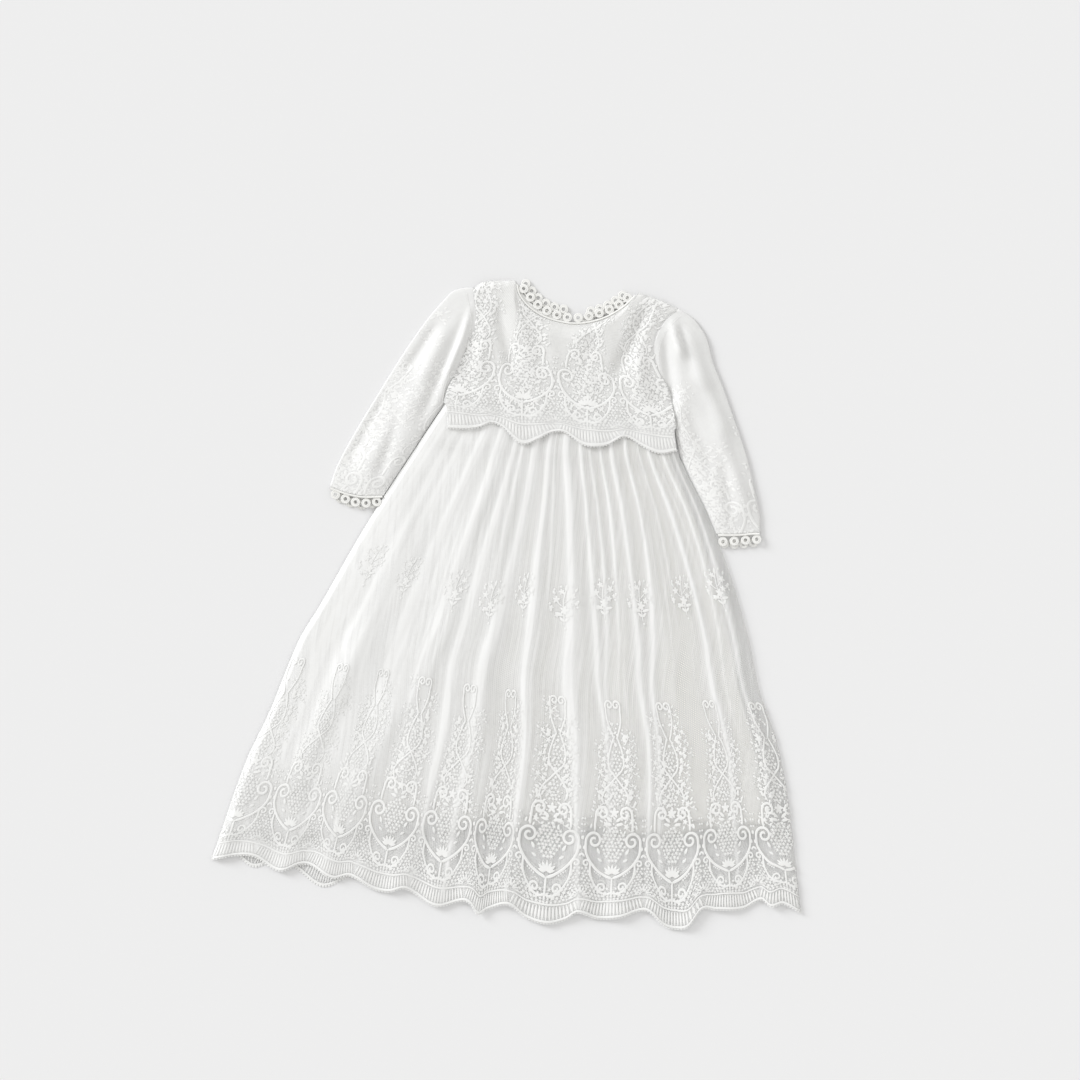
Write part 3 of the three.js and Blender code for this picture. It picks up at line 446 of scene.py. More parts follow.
def gathers(s, t):
    """Height of the fine gathers, the charted ones and fainter ones between them."""
    width = skirt_width(t)
    rng = np.random.RandomState(11)
    rows = list(GATHERS)
    for k in range(FAINT_GATHERS):
        at = (k + 0.5 + rng.uniform(-0.4, 0.4)) / FAINT_GATHERS
        rows.append((at, at + rng.uniform(-0.015, 0.015), rng.uniform(0.2, 0.85), rng.uniform(0.4, 1.0),
                     rng.uniform(1.2, 2.0)))
    starts = [-0.2] * len(rows)
    for k in range(LOOSE_GATHERS):
        at = rng.uniform(0.02, 0.98)
        start = rng.uniform(0.02, 0.75)
        rows.append((at, at + rng.uniform(-0.01, 0.01), start + rng.uniform(0.25, 0.6),
                     rng.uniform(0.4, 1.0), rng.uniform(0.9, 1.5)))
        starts.append(start)
    fine = np.zeros_like(s)
    for k, (waist, lower, end, rise, spread) in enumerate(rows):
        offset = (s - gather_line(waist, lower, k, t)) * width / (spread * mix(1, 2.1, smoothstep(0, 0.7, t)))
        fade = mix(0.8, 1, smoothstep(0, 0.08, t)) * (1 - smoothstep(mix(starts[k], end, 0.45), end, t))
        fade = fade * GATHER_SCALE * smoothstep(starts[k], starts[k] + 0.15, t)
        uneven = 1 + 0.2 * np.sin(14 * t + 1.7 * k)
        fine += (rise * fade * uneven / (1 + offset**2) ** 1.3) ** 2
    return side_fade(s, width) * np.sqrt(fine)


def lining_inset(down):
    """How far the lining stays inside the skirt's left and right sides."""
    return 6 + 2 * down, 10 + 18 * down


def lining_lift(x, y, s, width):
    """How far the two linings raise the net that lies on them."""
    left_inset, right_inset = lining_inset(-y / SKIRT_LENGTH)
    across = smoothstep(left_inset - 5, left_inset, s * width)
    across = across * smoothstep(right_inset - 13, right_inset - 3, (1 - s) * width)
    hem = lining_front_at(np.clip(x, *LINING_ENDS))
    return 2 * LAYER * across * smoothstep(hem - 26, hem - 6, y)


def lining_plan(hem_at, s, t):
    """Plan of a lining, from just below the waist seam to its own hem."""
    _, y0 = skirt_plan(hem_front_at, s, np.zeros_like(s))
    down = mix(0.012, 0.83, t)
    left_inset, right_inset = lining_inset(down)
    x = mix(skirt_left(down)[0] + left_inset, skirt_right(down)[0] - right_inset, s)
    return x, mix(y0 - SEAM_ALLOWANCE - 0.8, hem_at(x), t)


def skirt_share(x, y):
    """Shares across and down the skirt for a place in its plan."""
    down = np.clip(-y / SKIRT_LENGTH, 0, 1)
    left = skirt_left(down)[0]
    right = skirt_right(down)[0]
    return (x - left) / (right - left), down


def bodice_softness(s, t, x, y):
    """The soft rise and the creases of the bodice's front."""
    edge = smoothstep(0, 0.12, s) * smoothstep(0, 0.12, 1 - s) * smoothstep(0, 0.18, t)
    return edge * (crease_height(BODICE_CREASES, x, y) + 2.8 * np.sin(math.pi * np.clip(s, 0, 1)) ** 0.6)


def bodice_front_under(s, t, x, y):
    """Height of the underside of the satin front."""
    waist_rise = LAYER * (1 - smoothstep(10, 34, y))
    return 2 * LAYER + waist_rise + bodice_softness(s, t, x, y) * smoothstep(4, 34, y)


def bodice_width(t):
    """Width of the bodice at a share down it, and of the overlay below the waist."""
    upper = np.minimum(t, 1)
    return body_right(upper)[0] - body_left(upper)[0]


def inset_shares(s, t, inset=0.5):
    """Shares across the satin, which stays a little inside the bodice's sides."""
    width = bodice_width(t)
    return mix(inset / width, 1 - inset / width, s)


def neck_part(s, start):
    """1 along the neck, 0 along the shoulders."""
    return smoothstep(start, start + 0.025, np.minimum(s, 1 - s))


def inset_down(s, t):
    """Shares down the satin, which stays a little below the shoulder seams."""
    return mix(0.02 * (1 - neck_part(s, NECK_START)), 1, t)


def overlay_front_under(s, t, x, y):
    """Height of the overlay's underside: over the satin, over its edges, then riding on the skirt."""
    side = np.minimum(s, 1 - s) * bodice_width(t)
    shoulder_run = mix(smoothstep(0, 6.5, t * BODICE_LENGTH), 1, neck_part(s, NECK_START - 0.05))
    rounding = np.sqrt(np.clip(1 - (1 - np.clip(side / 4.0, 0, 1)) ** 2, 0, 1))
    over_edge = mix(0.7, 1, rounding) * shoulder_run
    on_bodice = mix(LAYER + 0.6, bodice_front_under(s, np.minimum(t, 1), x, y) + LAYER + 0.2, over_edge)
    ride_up = 1 - smoothstep(8, 30, y)
    wave = 0.5 * (1 + np.sin(2 * math.pi * 3.4 * s + 1)) * smoothstep(1, 2, t)
    return mix(on_bodice, 4 * LAYER + 2.6 + wave, ride_up)


# Finishes.


def linear(hex_colour):
    """An sRGB hex colour as the linear RGBA that shaders use."""
    channels = [int(hex_colour[i:i + 2], 16) / 255 for i in (1, 3, 5)]
    return [c / 12.92 if c <= 0.04045 else ((c + 0.055) / 1.055) ** 2.4 for c in channels] + [1.0]


def add_node(tree, kind, settings=None, links=None):
    """Adds a node with its settings by attribute or socket name, and links into its sockets. A link
    comes from a socket, or from a node, which means the first of its outputs that is in use."""
    node = tree.nodes.new(kind)
    for name, value in (settings or {}).items():
        if isinstance(name, str) and hasattr(node, name):
            setattr(node, name, value)
        elif kind == "ShaderNodeMix":
            next(i for i in node.inputs if i.name == name and i.enabled).default_value = value
        else:
            node.inputs[name].default_value = value
    for socket, source in (links or {}).items():
        tree.links.new(output_of(source), node.inputs[socket])
    return node


def output_of(source):
    """A socket as it is, or a node's first output in use."""
    if hasattr(source, "outputs"):
        return next(socket for socket in source.outputs if socket.enabled)
    return source


def new_material(name, colour, roughness, **constants):
    """A material with its tree and its shader, whose sockets are named with underscores for spaces."""
    material = bpy.data.materials.new(name)
    material.use_nodes = True
    shader = material.node_tree.nodes["Principled BSDF"]
    shader.inputs["Base Color"].default_value = linear(colour)
    shader.inputs["Roughness"].default_value = roughness
    for socket, value in constants.items():
        shader.inputs[socket.replace("_", " ")].default_value = value
    return material, material.node_tree, shader


def lattice(tree, vector, pitch):
    """Waves that peak once a cell on a hexagonal lattice of the given pitch, in metres."""
    step = 2 * math.pi / (pitch * ROW_STEP)
    waves = []
    for angle in (0, 60, 120):
        direction = (math.cos(math.radians(angle)) * step, math.sin(math.radians(angle)) * step, 0)
        dot = add_node(tree, "ShaderNodeVectorMath", {"operation": "DOT_PRODUCT", 1: direction}, {0: vector})
        waves.append(add_node(tree, "ShaderNodeMath", {"operation": "COSINE"}, {0: dot.outputs["Value"]}))
    pair = add_node(tree, "ShaderNodeMath", {"operation": "ADD"}, {0: waves[0], 1: waves[1]})
    return add_node(tree, "ShaderNodeMath", {"operation": "ADD"}, {0: pair, 1: waves[2]})


def yarn_map(tree):
    """Real metres along and across the cloth."""
    return add_node(tree, "ShaderNodeUVMap", {"uv_map": "Yarn"})


def add_relief(tree, shader, height, strength):
    """A fine relief of up to 0.2 mm."""
    bump = add_node(tree, "ShaderNodeBump", {"Strength": strength, "Distance": 0.0002}, {"Height": height})
    tree.links.new(bump.outputs[0], shader.inputs["Normal"])


def faint_mottle(tree, shader, place, light, dark, scale):
    """Lets the colour drift between two close whites, as undyed and bleached yarn does."""
    drift = add_node(tree, "ShaderNodeTexNoise", {"Scale": scale, "Detail": 3.0}, {"Vector": place})
    whites = {"data_type": "RGBA", "A": linear(light), "B": linear(dark)}
    blend = add_node(tree, "ShaderNodeMix", whites, {"Factor": drift})
    tree.links.new(output_of(blend), shader.inputs["Base Color"])


def net_material(name, colours, open_cover, thread_cover, pitch, streak):
    """Polyester tulle, warp-knitted: matte threads round hexagonal holes that let light through.
    Real holes are about 1 mm. They are drawn at 2.4 mm on the skirt and at 1.4 mm over satin, the
    finest that a close view can hold."""
    material, tree, shader = new_material(name, colours[0], 0.6, Sheen_Weight=0.1, Specular_IOR_Level=0.3)
    yarn = yarn_map(tree)
    faint_mottle(tree, shader, yarn, *colours, 28.0)
    # Three crossing waves peak once in each hole; the thread lies where their sum is low.
    holes = lattice(tree, yarn, pitch)
    span = {"interpolation_type": "SMOOTHSTEP", "From Min": 0.9, "From Max": -0.6,
            "To Min": open_cover, "To Max": thread_cover}
    cover = add_node(tree, "ShaderNodeMapRange", span, {"Value": holes})
    # Where the net is gathered its layers crowd together and hide what is below; on the skirt this closeness
    # also holds painted side light.
    crowd = add_node(tree, "ShaderNodeAttribute", {"attribute_name": "gathered"})
    stretch = add_node(tree, "ShaderNodeMapping", {"Scale": (260.0, 9.0, 1.0)}, {"Vector": yarn})
    streaks = add_node(tree, "ShaderNodeTexNoise", {"Scale": 1.0, "Detail": 3.0}, {"Vector": stretch})
    uneven = add_node(tree, "ShaderNodeMath", {"operation": "MULTIPLY_ADD", 1: streak, 2: -0.5 * streak},
                      {0: streaks})
    packed = add_node(tree, "ShaderNodeMath", {"operation": "ADD", "use_clamp": True},
                      {0: crowd.outputs["Fac"], 1: uneven})
    rest = add_node(tree, "ShaderNodeMath", {"operation": "SUBTRACT", 0: 0.92}, {1: cover})
    alpha = add_node(tree, "ShaderNodeMath", {"operation": "MULTIPLY_ADD"}, {0: rest, 1: packed, 2: cover})
    tree.links.new(alpha.outputs[0], shader.inputs["Alpha"])
    add_relief(tree, shader, cover, 0.2)
    return material


def satin_material():
    """Polyester satin, woven and calendered: smooth floats that give a soft broad sheen.
    The twill line of the weave is about 0.4 mm; it is drawn at 0.9 mm."""
    material, tree, shader = new_material("Satin", "#FAFAF8", 0.38, Sheen_Weight=0.15,
                                          Specular_IOR_Level=0.45)
    yarn = yarn_map(tree)
    faint_mottle(tree, shader, yarn, "#FCFCFA", "#F7F7F4", 20.0)
    twill = {"bands_direction": "DIAGONAL", "Scale": 700.0, "Distortion": 1.2, "Detail": 1.0}
    weave = add_node(tree, "ShaderNodeTexWave", twill, {"Vector": yarn})
    slub = add_node(tree, "ShaderNodeTexNoise", {"Scale": 90.0, "Detail": 3.0}, {"Vector": yarn})
    rough = add_node(tree, "ShaderNodeMapRange", {"To Min": 0.3, "To Max": 0.46}, {"Value": slub})
    tree.links.new(rough.outputs[0], shader.inputs["Roughness"])
    add_relief(tree, shader, weave.outputs["Fac"], 0.12)
    return material


def lining_material():
    """Plain-woven polyester lining with a fine thread grid. Its own off-white is darkened to an even warm
    grey, a painted shade for the shade seen through the net over it.
    Threads are about 0.2 mm; they are drawn at 1 mm."""
    # Painted shade: the warm grey base and mottle colours stand for the warm shade seen through the net, not
    # the lining's own white.
    material, tree, shader = new_material("Lining", "#DDDCD8", 0.55, Sheen_Weight=0.1,
                                          Specular_IOR_Level=0.35)
    yarn = yarn_map(tree)
    faint_mottle(tree, shader, yarn, "#E1E0DC", "#D9D8D3", 16.0)
    ways = []
    for way in ("X", "Y"):
        bands = {"bands_direction": way, "Scale": 314.0}
        ways.append(add_node(tree, "ShaderNodeTexWave", bands, {"Vector": yarn}).outputs["Fac"])
    threads = add_node(tree, "ShaderNodeMath", {"operation": "ADD"}, {0: ways[0], 1: ways[1]})
    add_relief(tree, shader, threads, 0.1)
    return material


def thread_material(name, light, dark, roughness):
    """Rayon or cotton thread in close satin stitch: bright, with fine ribs that catch the light.
    Stitches lie about 0.3 mm apart; they are drawn at 0.8 mm."""
    material, tree, shader = new_material(name, light, roughness, Sheen_Weight=0.1, Specular_IOR_Level=0.45)
    place = add_node(tree, "ShaderNodeTexCoord").outputs["Object"]
    faint_mottle(tree, shader, place, light, dark, 120.0)
    stitches = {"bands_direction": "DIAGONAL", "Scale": 785.0, "Distortion": 2.0, "Detail": 1.0}
    ribs = add_node(tree, "ShaderNodeTexWave", stitches, {"Vector": place})
    add_relief(tree, shader, ribs.outputs["Fac"], 0.3)
    return material


def floor_material(colour):
    """Matte studio paper: one even pale grey."""
    material, tree, shader = new_material("Studio paper", colour, 0.9, Specular_IOR_Level=0.1)
    place = add_node(tree, "ShaderNodeTexCoord").outputs["Object"]
    grain = add_node(tree, "ShaderNodeTexNoise", {"Scale": 900.0}, {"Vector": place})
    add_relief(tree, shader, grain, 0.03)
    return material


# Meshes.


def in_frame(x, y, z):
    """Draft millimetres to metres in the part's frame."""
    return np.stack([(x + ORIGIN_X) / 1000, (y + ORIGIN_Y) / 1000, z / 1000], axis=-1)


def smooth_shade(mesh):
    mesh.polygons.foreach_set("use_smooth", [True] * len(mesh.polygons))


def mesh_object(name, vertices, edges, faces):
    """A mesh of points, lines and faces, linked to the scene."""
    mesh = bpy.data.meshes.new(name)
    mesh.from_pydata([tuple(v) for v in np.asarray(vertices, float).reshape(-1, 3)], edges, faces)
    obj = bpy.data.objects.new(name, mesh)
    bpy.context.scene.collection.objects.link(obj)
    return obj


def new_object(name, vertices, faces, material, smooth=True):
    """A surface with its material."""
    obj = mesh_object(name, vertices, [], faces)
    obj.data.validate()
    obj.data.materials.append(material)
    if smooth:
        smooth_shade(obj.data)
    return obj


def grid_faces(rows, columns, around=False, ends_meet=False):
    """Quads of a grid. Its columns can close around a tube, and its last row can meet the first."""
    faces = []
    for j in range(rows - (0 if ends_meet else 1)):
        below = (j + 1) % rows
        for i in range(columns - (0 if around else 1)):
            k = (i + 1) % columns
            faces.append((j * columns + i, below * columns + i, below * columns + k, j * columns + k))
    return faces


def set_uv(obj, name, u, v):
    """A UV map from one pair of values a vertex."""
    layer = obj.data.uv_layers.new(name=name)
    index = np.empty(len(obj.data.loops), int)
    obj.data.loops.foreach_get("vertex_index", index)
    pairs = np.stack([np.ravel(u)[index], np.ravel(v)[index]], axis=-1)
    layer.data.foreach_set("uv", pairs.astype(np.float32).ravel())


def set_density(obj, density):
    """How closely the net is gathered, one value a vertex, for its material to read; on the skirt it also
    holds painted side light.
    """
    layer = obj.data.attributes.new("gathered", "FLOAT", "POINT")
    layer.data.foreach_set("value", np.ravel(density).astype(np.float32))


def run_lengths(points, axis):
    """How far each point of a grid lies along its row or its column."""
    steps = np.linalg.norm(np.diff(points, axis=axis), axis=2)
    return np.insert(np.cumsum(steps, axis=axis), 0, 0.0, axis=axis)


def cloth(name, x, y, z, material, cloth_uv=None):
    """A sheet of cloth over a grid. Its Yarn map holds real metres along and across the cloth, and its
    Cloth map the plane that the embroidery is laid out on."""
    points = in_frame(x, y, z)
    obj = new_object(name, points, grid_faces(*x.shape), material)
    across = run_lengths(points, 1)
    down = run_lengths(points, 0)
    middle = [x.shape[1] // 2]
    set_uv(obj, "Yarn", across - across[:, middle], np.broadcast_to(down[:, middle], down.shape))
    if cloth_uv is not None:
        set_uv(obj, "Cloth", *cloth_uv)
    obj.data.uv_layers["Yarn"].active_render = True
    return obj


def two_spacings(middle, end, first, second):
    """Numbers from 0 to the end, of which the first count lie evenly up to the middle."""
    return np.concatenate([np.linspace(0, middle, first)[:-1], np.linspace(middle, end, second)])


def apply_modifiers(obj):
    """Turns the object with its modifiers into a plain mesh."""
    graph = bpy.context.evaluated_depsgraph_get()
    mesh = bpy.data.meshes.new_from_object(obj.evaluated_get(graph))
    mesh.name = obj.name
    old = obj.data
    obj.modifiers.clear()
    obj.data = mesh
    bpy.data.meshes.remove(old)


def thicken(obj, thickness):
    """Gives a sheet its wall, growing down from the outer face."""
    solid = obj.modifiers.new("Wall", "SOLIDIFY")
    solid.thickness = thickness
    solid.offset = -1
    solid.use_even_offset = False
    apply_modifiers(obj)


def ride(obj, slot, *nodes):
    """Puts a piece on the gown's one body in place of the solids it dresses. Its slot is not used."""
    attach(obj, "root")
    if nodes:
        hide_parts(*nodes)


# The embroidery, drawn flat in millimetres.


# How high the stitches stand against the heights that the motifs give.
STITCH_RELIEF = 0.36
# Outline of a petal: along and to the side, as shares of its length and width.
PETAL = [(0, 0), (0.3, -0.5), (0.7, -0.42), (1, 0), (0.7, 0.42), (0.3, 0.5)]


class Stitching:
    """Raised stitches drawn flat: x across, y up from the edge of the cloth, z up from the cloth."""

    def __init__(self):
        self.points = []
        self.faces = []

    def stroke(self, route, width=2.0, height=0.55, step=2.0, taper=True):
        """A crowned line of satin stitch along a smooth route."""
        route = np.array(route, float)
        length = np.hypot(*np.diff(route, axis=0).T).sum()
        count = max(3, int(length / step) + 1)
        x, y = smooth_curve(route)(np.linspace(0, 1, count))
        dx, dy = np.gradient(x), np.gradient(y)
        norm = np.hypot(dx, dy) + 1e-9
        half = width / 2 * np.ones(count)
        if taper:
            half[[0, -1]] *= 0.35
            half[[1, -2]] *= 0.9
        start = len(self.points)
        for i in range(count):
            for side, z in ((-half[i], 0.0), (0.0, height * STITCH_RELIEF), (half[i], 0.0)):
                self.points.append((x[i] - dy[i] / norm[i] * side, y[i] + dx[i] / norm[i] * side, z))
        for a in range(start, start + 3 * count - 3, 3):
            for k in (a, a + 1):
                self.faces.append((k, k + 3, k + 4, k + 1))

    def both(self, route, **settings):
        """A stroke and its mirror image."""
        self.stroke(route, **settings)
        self.stroke([(-x, y) for x, y in route][::-1], **settings)

    def fan(self, x, y, height, rim):
        """A low cone of triangles from a raised centre to the points of its rim."""
        start = len(self.points)
        self.points.append((x, y, height * STITCH_RELIEF))
        self.points.extend((a, b, 0.0) for a, b in rim)
        for k in range(len(rim)):
            self.faces.append((start, start + 1 + k, start + 1 + (k + 1) % len(rim)))

    def petal(self, x, y, length, width, angle, height=0.7):
        """A crowned petal or leaf that starts at x, y."""
        cos, sin = math.cos(math.radians(angle)), math.sin(math.radians(angle))
        outline = [(along * length, side * width) for along, side in PETAL]
        rim = [(x + cos * px - sin * py, y + sin * px + cos * py) for px, py in outline]
        self.fan(x + cos * length * 0.5, y + sin * length * 0.5, height, rim)

    def star(self, x, y, radius, turn, height=0.6):
        """A six-armed floret, the cheapest shape that still reads as one."""
        rim = []
        for k in range(12):
            reach = radius if k % 2 == 0 else radius * 0.36
            angle = math.radians(turn + 30 * k)
            rim.append((x + reach * math.cos(angle), y + reach * math.sin(angle)))
        self.fan(x, y, height, rim)

    def dot(self, x, y, radius, height=0.8):
        """A small round knot."""
        angles = [2 * math.pi * k / 7 for k in range(7)]
        self.fan(x, y, height, [(x + radius * math.cos(a), y + radius * math.sin(a)) for a in angles])

    def flower(self, x, y, radius, petals=5, turn=90):
        """Petals round a knot."""
        for k in range(petals):
            self.petal(x, y, radius, radius * 0.55, turn + k * 360 / petals)
        self.dot(x, y, radius * 0.3, 1.1)

    def pattern(self, name, scale=1.0):
        """The hidden mesh that a node tree copies."""
        return pattern_object(name, np.array(self.points) * scale, self.faces, "thread")


def pattern_object(name, points, faces, finish):
    """A piece that is hidden from the render, because it is there to be copied."""
    obj = new_object(name, points, faces, finishes[finish])
    obj.hide_render = True
    return obj


def curl(cx, cy, outer, inner, start, turns, way=1, lead=()):
    """A route that spirals inwards round a centre, after some leading points."""
    count = max(8, int(abs(turns) * 10))
    route = list(lead)
    for k in range(count + 1):
        share = k / count
        radius = mix(outer, inner, share**0.8)
        angle = math.radians(start + way * 360 * turns * share)
        route.append((cx + radius * math.cos(angle), cy + radius * math.sin(angle)))
    return route


def half_shapes(st, sides, shapes):
    """Draws petals given for the right half on each side: x, y, length, width and angle."""
    for x, y, length, width, angle in shapes:
        for side in sides:
            st.petal(side * x, y, length, width, angle if side > 0 else 180 - angle)


def floret_mesh(st, inside, x0, x1, y0, y1, pitch, radius):
    """Small star florets that touch tip to tip, as the close filling of guipure lace does."""
    rows = int((y1 - y0) / (pitch * ROW_STEP)) + 1
    for j in range(rows):
        y = y0 + j * pitch * ROW_STEP
        shift = pitch / 2 if j % 2 else 0.0
        count = int((x1 - x0) / pitch) + 2
        for i in range(-count // 2, count // 2 + 1):
            x = i * pitch + shift
            if x0 <= x <= x1 and inside(x, y):
                aside, up = math.sin(5.1 * i + 7.7 * j), math.sin(9.3 * i - 4.1 * j)
                st.star(x + 0.5 * aside, y + 0.5 * up, radius * (1 + 0.12 * up), 17 * i + 31 * j)


def draw_border(st):
    """The scalloped border of one repeat: a beaded edge, radial bars, an inner line, a close ground
    with fans at both notches, and the arched line with its small volutes."""
    half = BORDER_PITCH / 2
    beads = 17
    bars = 19
    st.stroke([(share * half, 1.5) for share in (-1, -0.5, 0, 0.5, 1)], width=2.4, height=0.8, taper=False)
    for k in range(beads):
        st.dot(-half + (k + 0.5) * BORDER_PITCH / beads, 0.9, 1.7, 1.0)
    for k in range(bars):
        x = -half + (k + 0.5) * BORDER_PITCH / bars
        top = 13.0 + 2.6 * math.cos(math.pi * x / BORDER_PITCH)
        st.stroke([(x, 3.0), (x * 0.95, (top + 3.0) / 2), (x * 0.9, top)], width=2.5, height=0.5, step=4)
    st.stroke([(-half, 14.0), (-22, 15.6), (-10, 17.0), (0, 17.4), (10, 17.0), (22, 15.6), (half, 14.0)],
              width=1.7, taper=False)
    # The close ground between the bars and the arched line, which rises to both notches.
    floret_mesh(st, lambda x, y: y < 22 + 29 * smoothstep(6, 32, abs(x)), -half, half, 19.5, 52, 3.9, 2.55)
    for side in (-1, 1):
        for angle in (8, 28, 48, 68, 86):
            c, n = math.cos(math.radians(angle)), math.sin(math.radians(angle))
            route = [(side * (half - r * c), 17.5 + r * n) for r in (3.0, 8.0, 12.5)]
            st.stroke(route, width=1.7, height=0.5, step=4)
    ogee = [(5.5, 23.5), (13, 27.5), (19.5, 34), (23.5, 41), (25.0, 49)]
    st.both(curl(29.6, 55.5, 4.8, 1.3, 195, 1.25, -1, ogee), width=2.2, height=0.8, step=1.8)


def draw_scrolls(st):
    """The lyre of one repeat: two small curls, a heart of two large curls and a pair of upper scrolls."""
    st.stroke([(0, 21), (0, 27), (0, 34), (0, 42)], width=2.2, height=0.7)
    foot = [(0.4, 26.0), (4, 24.9), (8, 24.9)]
    st.both(curl(11.0, 31.5, 6.0, 1.5, -100, 1.4, 1, foot), width=2.3, height=0.8, step=1.6)
    heart = [(0.4, 41), (9, 44.5), (18, 50), (25.5, 58), (30.3, 67)]
    st.both(curl(21.5, 80, 10.3, 2.0, -20, 1.45, 1, heart), width=2.9, height=0.95, step=1.8)
    upper = [(21.5, 90), (21.8, 96), (21.3, 102)]
    st.both(curl(13.2, 108, 8.0, 1.8, -8, 1.4, 1, upper), width=2.7, height=0.95, step=1.8)
    half_shapes(st, (-1, 1), [
        (14.5, 66, 8.0, 3.2, 62), (11.5, 58.5, 6.5, 2.8, 30), (31.5, 62.5, 6.0, 2.6, 48),
        (27.0, 92, 6.0, 2.6, 105), (33.0, 70, 5.0, 2.3, 90), (34.5, 80, 5.0, 2.3, 92)])
    for side in (-1, 1):
        for y in (89, 96, 102):
            st.dot(side * 33.5, y, 1.3)
        for k in range(4):
            st.dot(side * (19.6 - 2.2 * k), 47.6 - 1.4 * k, 1.0)


def draw_filling(st):
    """Fan petals under a close filling of star florets."""
    for angle in (14, 38, 64, 90, 116, 142, 166):
        length = 10.5 if 30 < angle < 150 else 8.0
        st.petal(1.2 * math.cos(math.radians(angle)), 46.0, length, 3.2, angle)
    floret_mesh(st, lambda x, y: (x / 13.5) ** 2 + ((y - 77) / 18.5) ** 2 < 1, -13, 13, 60, 96, 4.3, 3.0)
    floret_mesh(st, lambda x, y: abs(x) < 27 - 0.4 * abs(y - 27), -27, 27, 22.5, 31, 4.3, 2.4)
    half_shapes(st, (-1, 1), [(2.0, 96.5, 9.5, 3.4, 12), (2.0, 99.5, 9.5, 3.4, 38)])


def draw_column(st):
    """The tall column of one repeat: crossing stems, florets, leaves and two hooked tips."""
    floret_mesh(st, lambda x, y: abs(x) < 8.2 - 0.17 * (y - 116), -8, 8, 118, 142, 4.2, 2.7)
    floret_mesh(st, lambda x, y: abs(x) < 5.0, -5, 5, 149, 174, 4.2, 2.6)
    st.flower(0, 109, 6.0)
    stem = [(12.5, 117), (15.5, 123), (12.5, 131), (5.5, 139), (0, 145), (-7.6, 153), (-9.5, 162),
            (-6.5, 175), (-2, 186)]
    st.both(stem, width=2.1, height=0.8)
    st.both([(1.5, 184), (5, 192), (8.5, 202), (9.5, 213)], width=2.1, height=0.8)
    st.both(curl(4.6, 219.5, 5.6, 1.5, -30, 1.3, 1, [(9, 211)]), width=2.3, height=0.85, step=1.6)
    half_shapes(st, (-1, 1), [
        (17.5, 121, 7.4, 3.4, 70), (15.8, 128, 7.0, 3.2, 20), (12.0, 135, 7.0, 3.2, 64),
        (9.0, 141, 6.6, 3.0, 18), (9.6, 149, 6.4, 3.0, 40), (9.5, 182, 9.0, 4.6, 66),
        (9.5, 182, 6.2, 3.4, 12), (22.0, 117, 5.6, 2.6, 40)])
    for side in (-1, 1):
        for y, x in ((157, 14.2), (164, 14.8), (171, 14.2)):
            st.dot(side * x, y, 2.1)
        st.dot(side * 4.2, 200, 1.5)
    st.dot(0, 178, 1.9)


def draw_sprig(st):
    """A small standing sprig: a thin stem, leaves, a cluster of flowers and buds."""
    st.stroke([(1.5, -19), (0.4, -9), (-0.8, 3), (0.6, 14)], width=1.1, height=0.5)
    for x, y, radius, turn in (
            (0.5, -5, 4.6, 80), (-7.5, 4.0, 3.7, 20), (7.0, 8.5, 3.7, 50), (-3.2, 11.5, 3.0, 35),
            (5.6, -0.5, 3.2, 10), (-5.6, -9.5, 2.8, 60), (-11.5, -3.5, 2.6, 5), (10.8, 2.0, 2.4, 25)):
        st.flower(x, y, radius, 5, turn)
    for route in ([(-0.5, -2), (-4, 0), (-7, 3)], [(-0.4, 1), (3, 4), (6, 7)]):
        st.stroke(route, width=1.0, height=0.4)
    half_shapes(st, (1,), [
        (0.5, 12, 7.0, 2.8, 80), (1.0, -10, 8.5, 2.8, 14), (0.2, -10, 8.5, 2.8, 162),
        (1.2, -15, 6.0, 2.4, 44), (1.2, -15, 6.0, 2.4, 140), (0.0, 9, 6.0, 2.4, 134),
        (-9, 8, 5.0, 2.2, 120), (9, 12, 5.0, 2.2, 60)])
    for x, y in ((12, -1), (-13, 0), (-4, 16), (6, 17.5), (2.4, -21), (-10, 13), (12.5, 4), (-11.5, -6)):
        st.dot(x, y, 1.2)


def draw_spray(st):
    """A tiny flower with its leaves, which fills the ground between the scrolls."""
    st.flower(0, 0, 3.4, 5, 70)
    st.stroke([(1.5, -1.5), (4.5, -4.5), (8.5, -5.0)], width=0.9, height=0.35)
    half_shapes(st, (1,), [
        (3.0, 2.4, 5.2, 2.2, 50), (-3.2, 1.6, 5.0, 2.1, 150), (-1.0, -3.4, 5.0, 2.1, 250),
        (5.0, -4.4, 4.4, 2.0, 20), (7.8, -5.2, 4.0, 1.9, -35)])
    for x, y in ((-6.5, -3.5), (1.0, 6.8), (-5.0, 6.5), (8.5, 0.5)):
        st.dot(x, y, 0.95)


# Node trees.


def tree_with(name, **inputs):
    """A Geometry Nodes tree with a geometry input, named inputs and a geometry output."""
    tree = bpy.data.node_groups.new(name, "GeometryNodeTree")
    for label, kind in {"Geometry": "Geometry", **inputs}.items():
        tree.interface.new_socket(label, in_out="INPUT", socket_type="NodeSocket" + kind)
    tree.interface.new_socket("Geometry", in_out="OUTPUT", socket_type="NodeSocketGeometry")
    return tree, add_node(tree, "NodeGroupInput").outputs


def end_tree(tree, geometry, material):
    """Joins the copies into one mesh, gives it its material and hands it out of the tree."""
    whole = add_node(tree, "GeometryNodeRealizeInstances", {}, {"Geometry": geometry})
    dressed = add_node(tree, "GeometryNodeSetMaterial", {}, {"Geometry": whole, "Material": material})
    add_node(tree, "NodeGroupOutput", {}, {"Geometry": dressed})
    return tree


def run_tree(obj, tree, **values):
    """Adds the tree, sets its inputs by their socket identifiers and keeps the result as a mesh."""
    modifier = obj.modifiers.new(tree.name, "NODES")
    modifier.node_group = tree
    for item in tree.interface.items_tree:
        if item.item_type == "SOCKET" and item.in_out == "INPUT" and item.name in values:
            modifier[item.identifier] = values[item.name]
    apply_modifiers(obj)


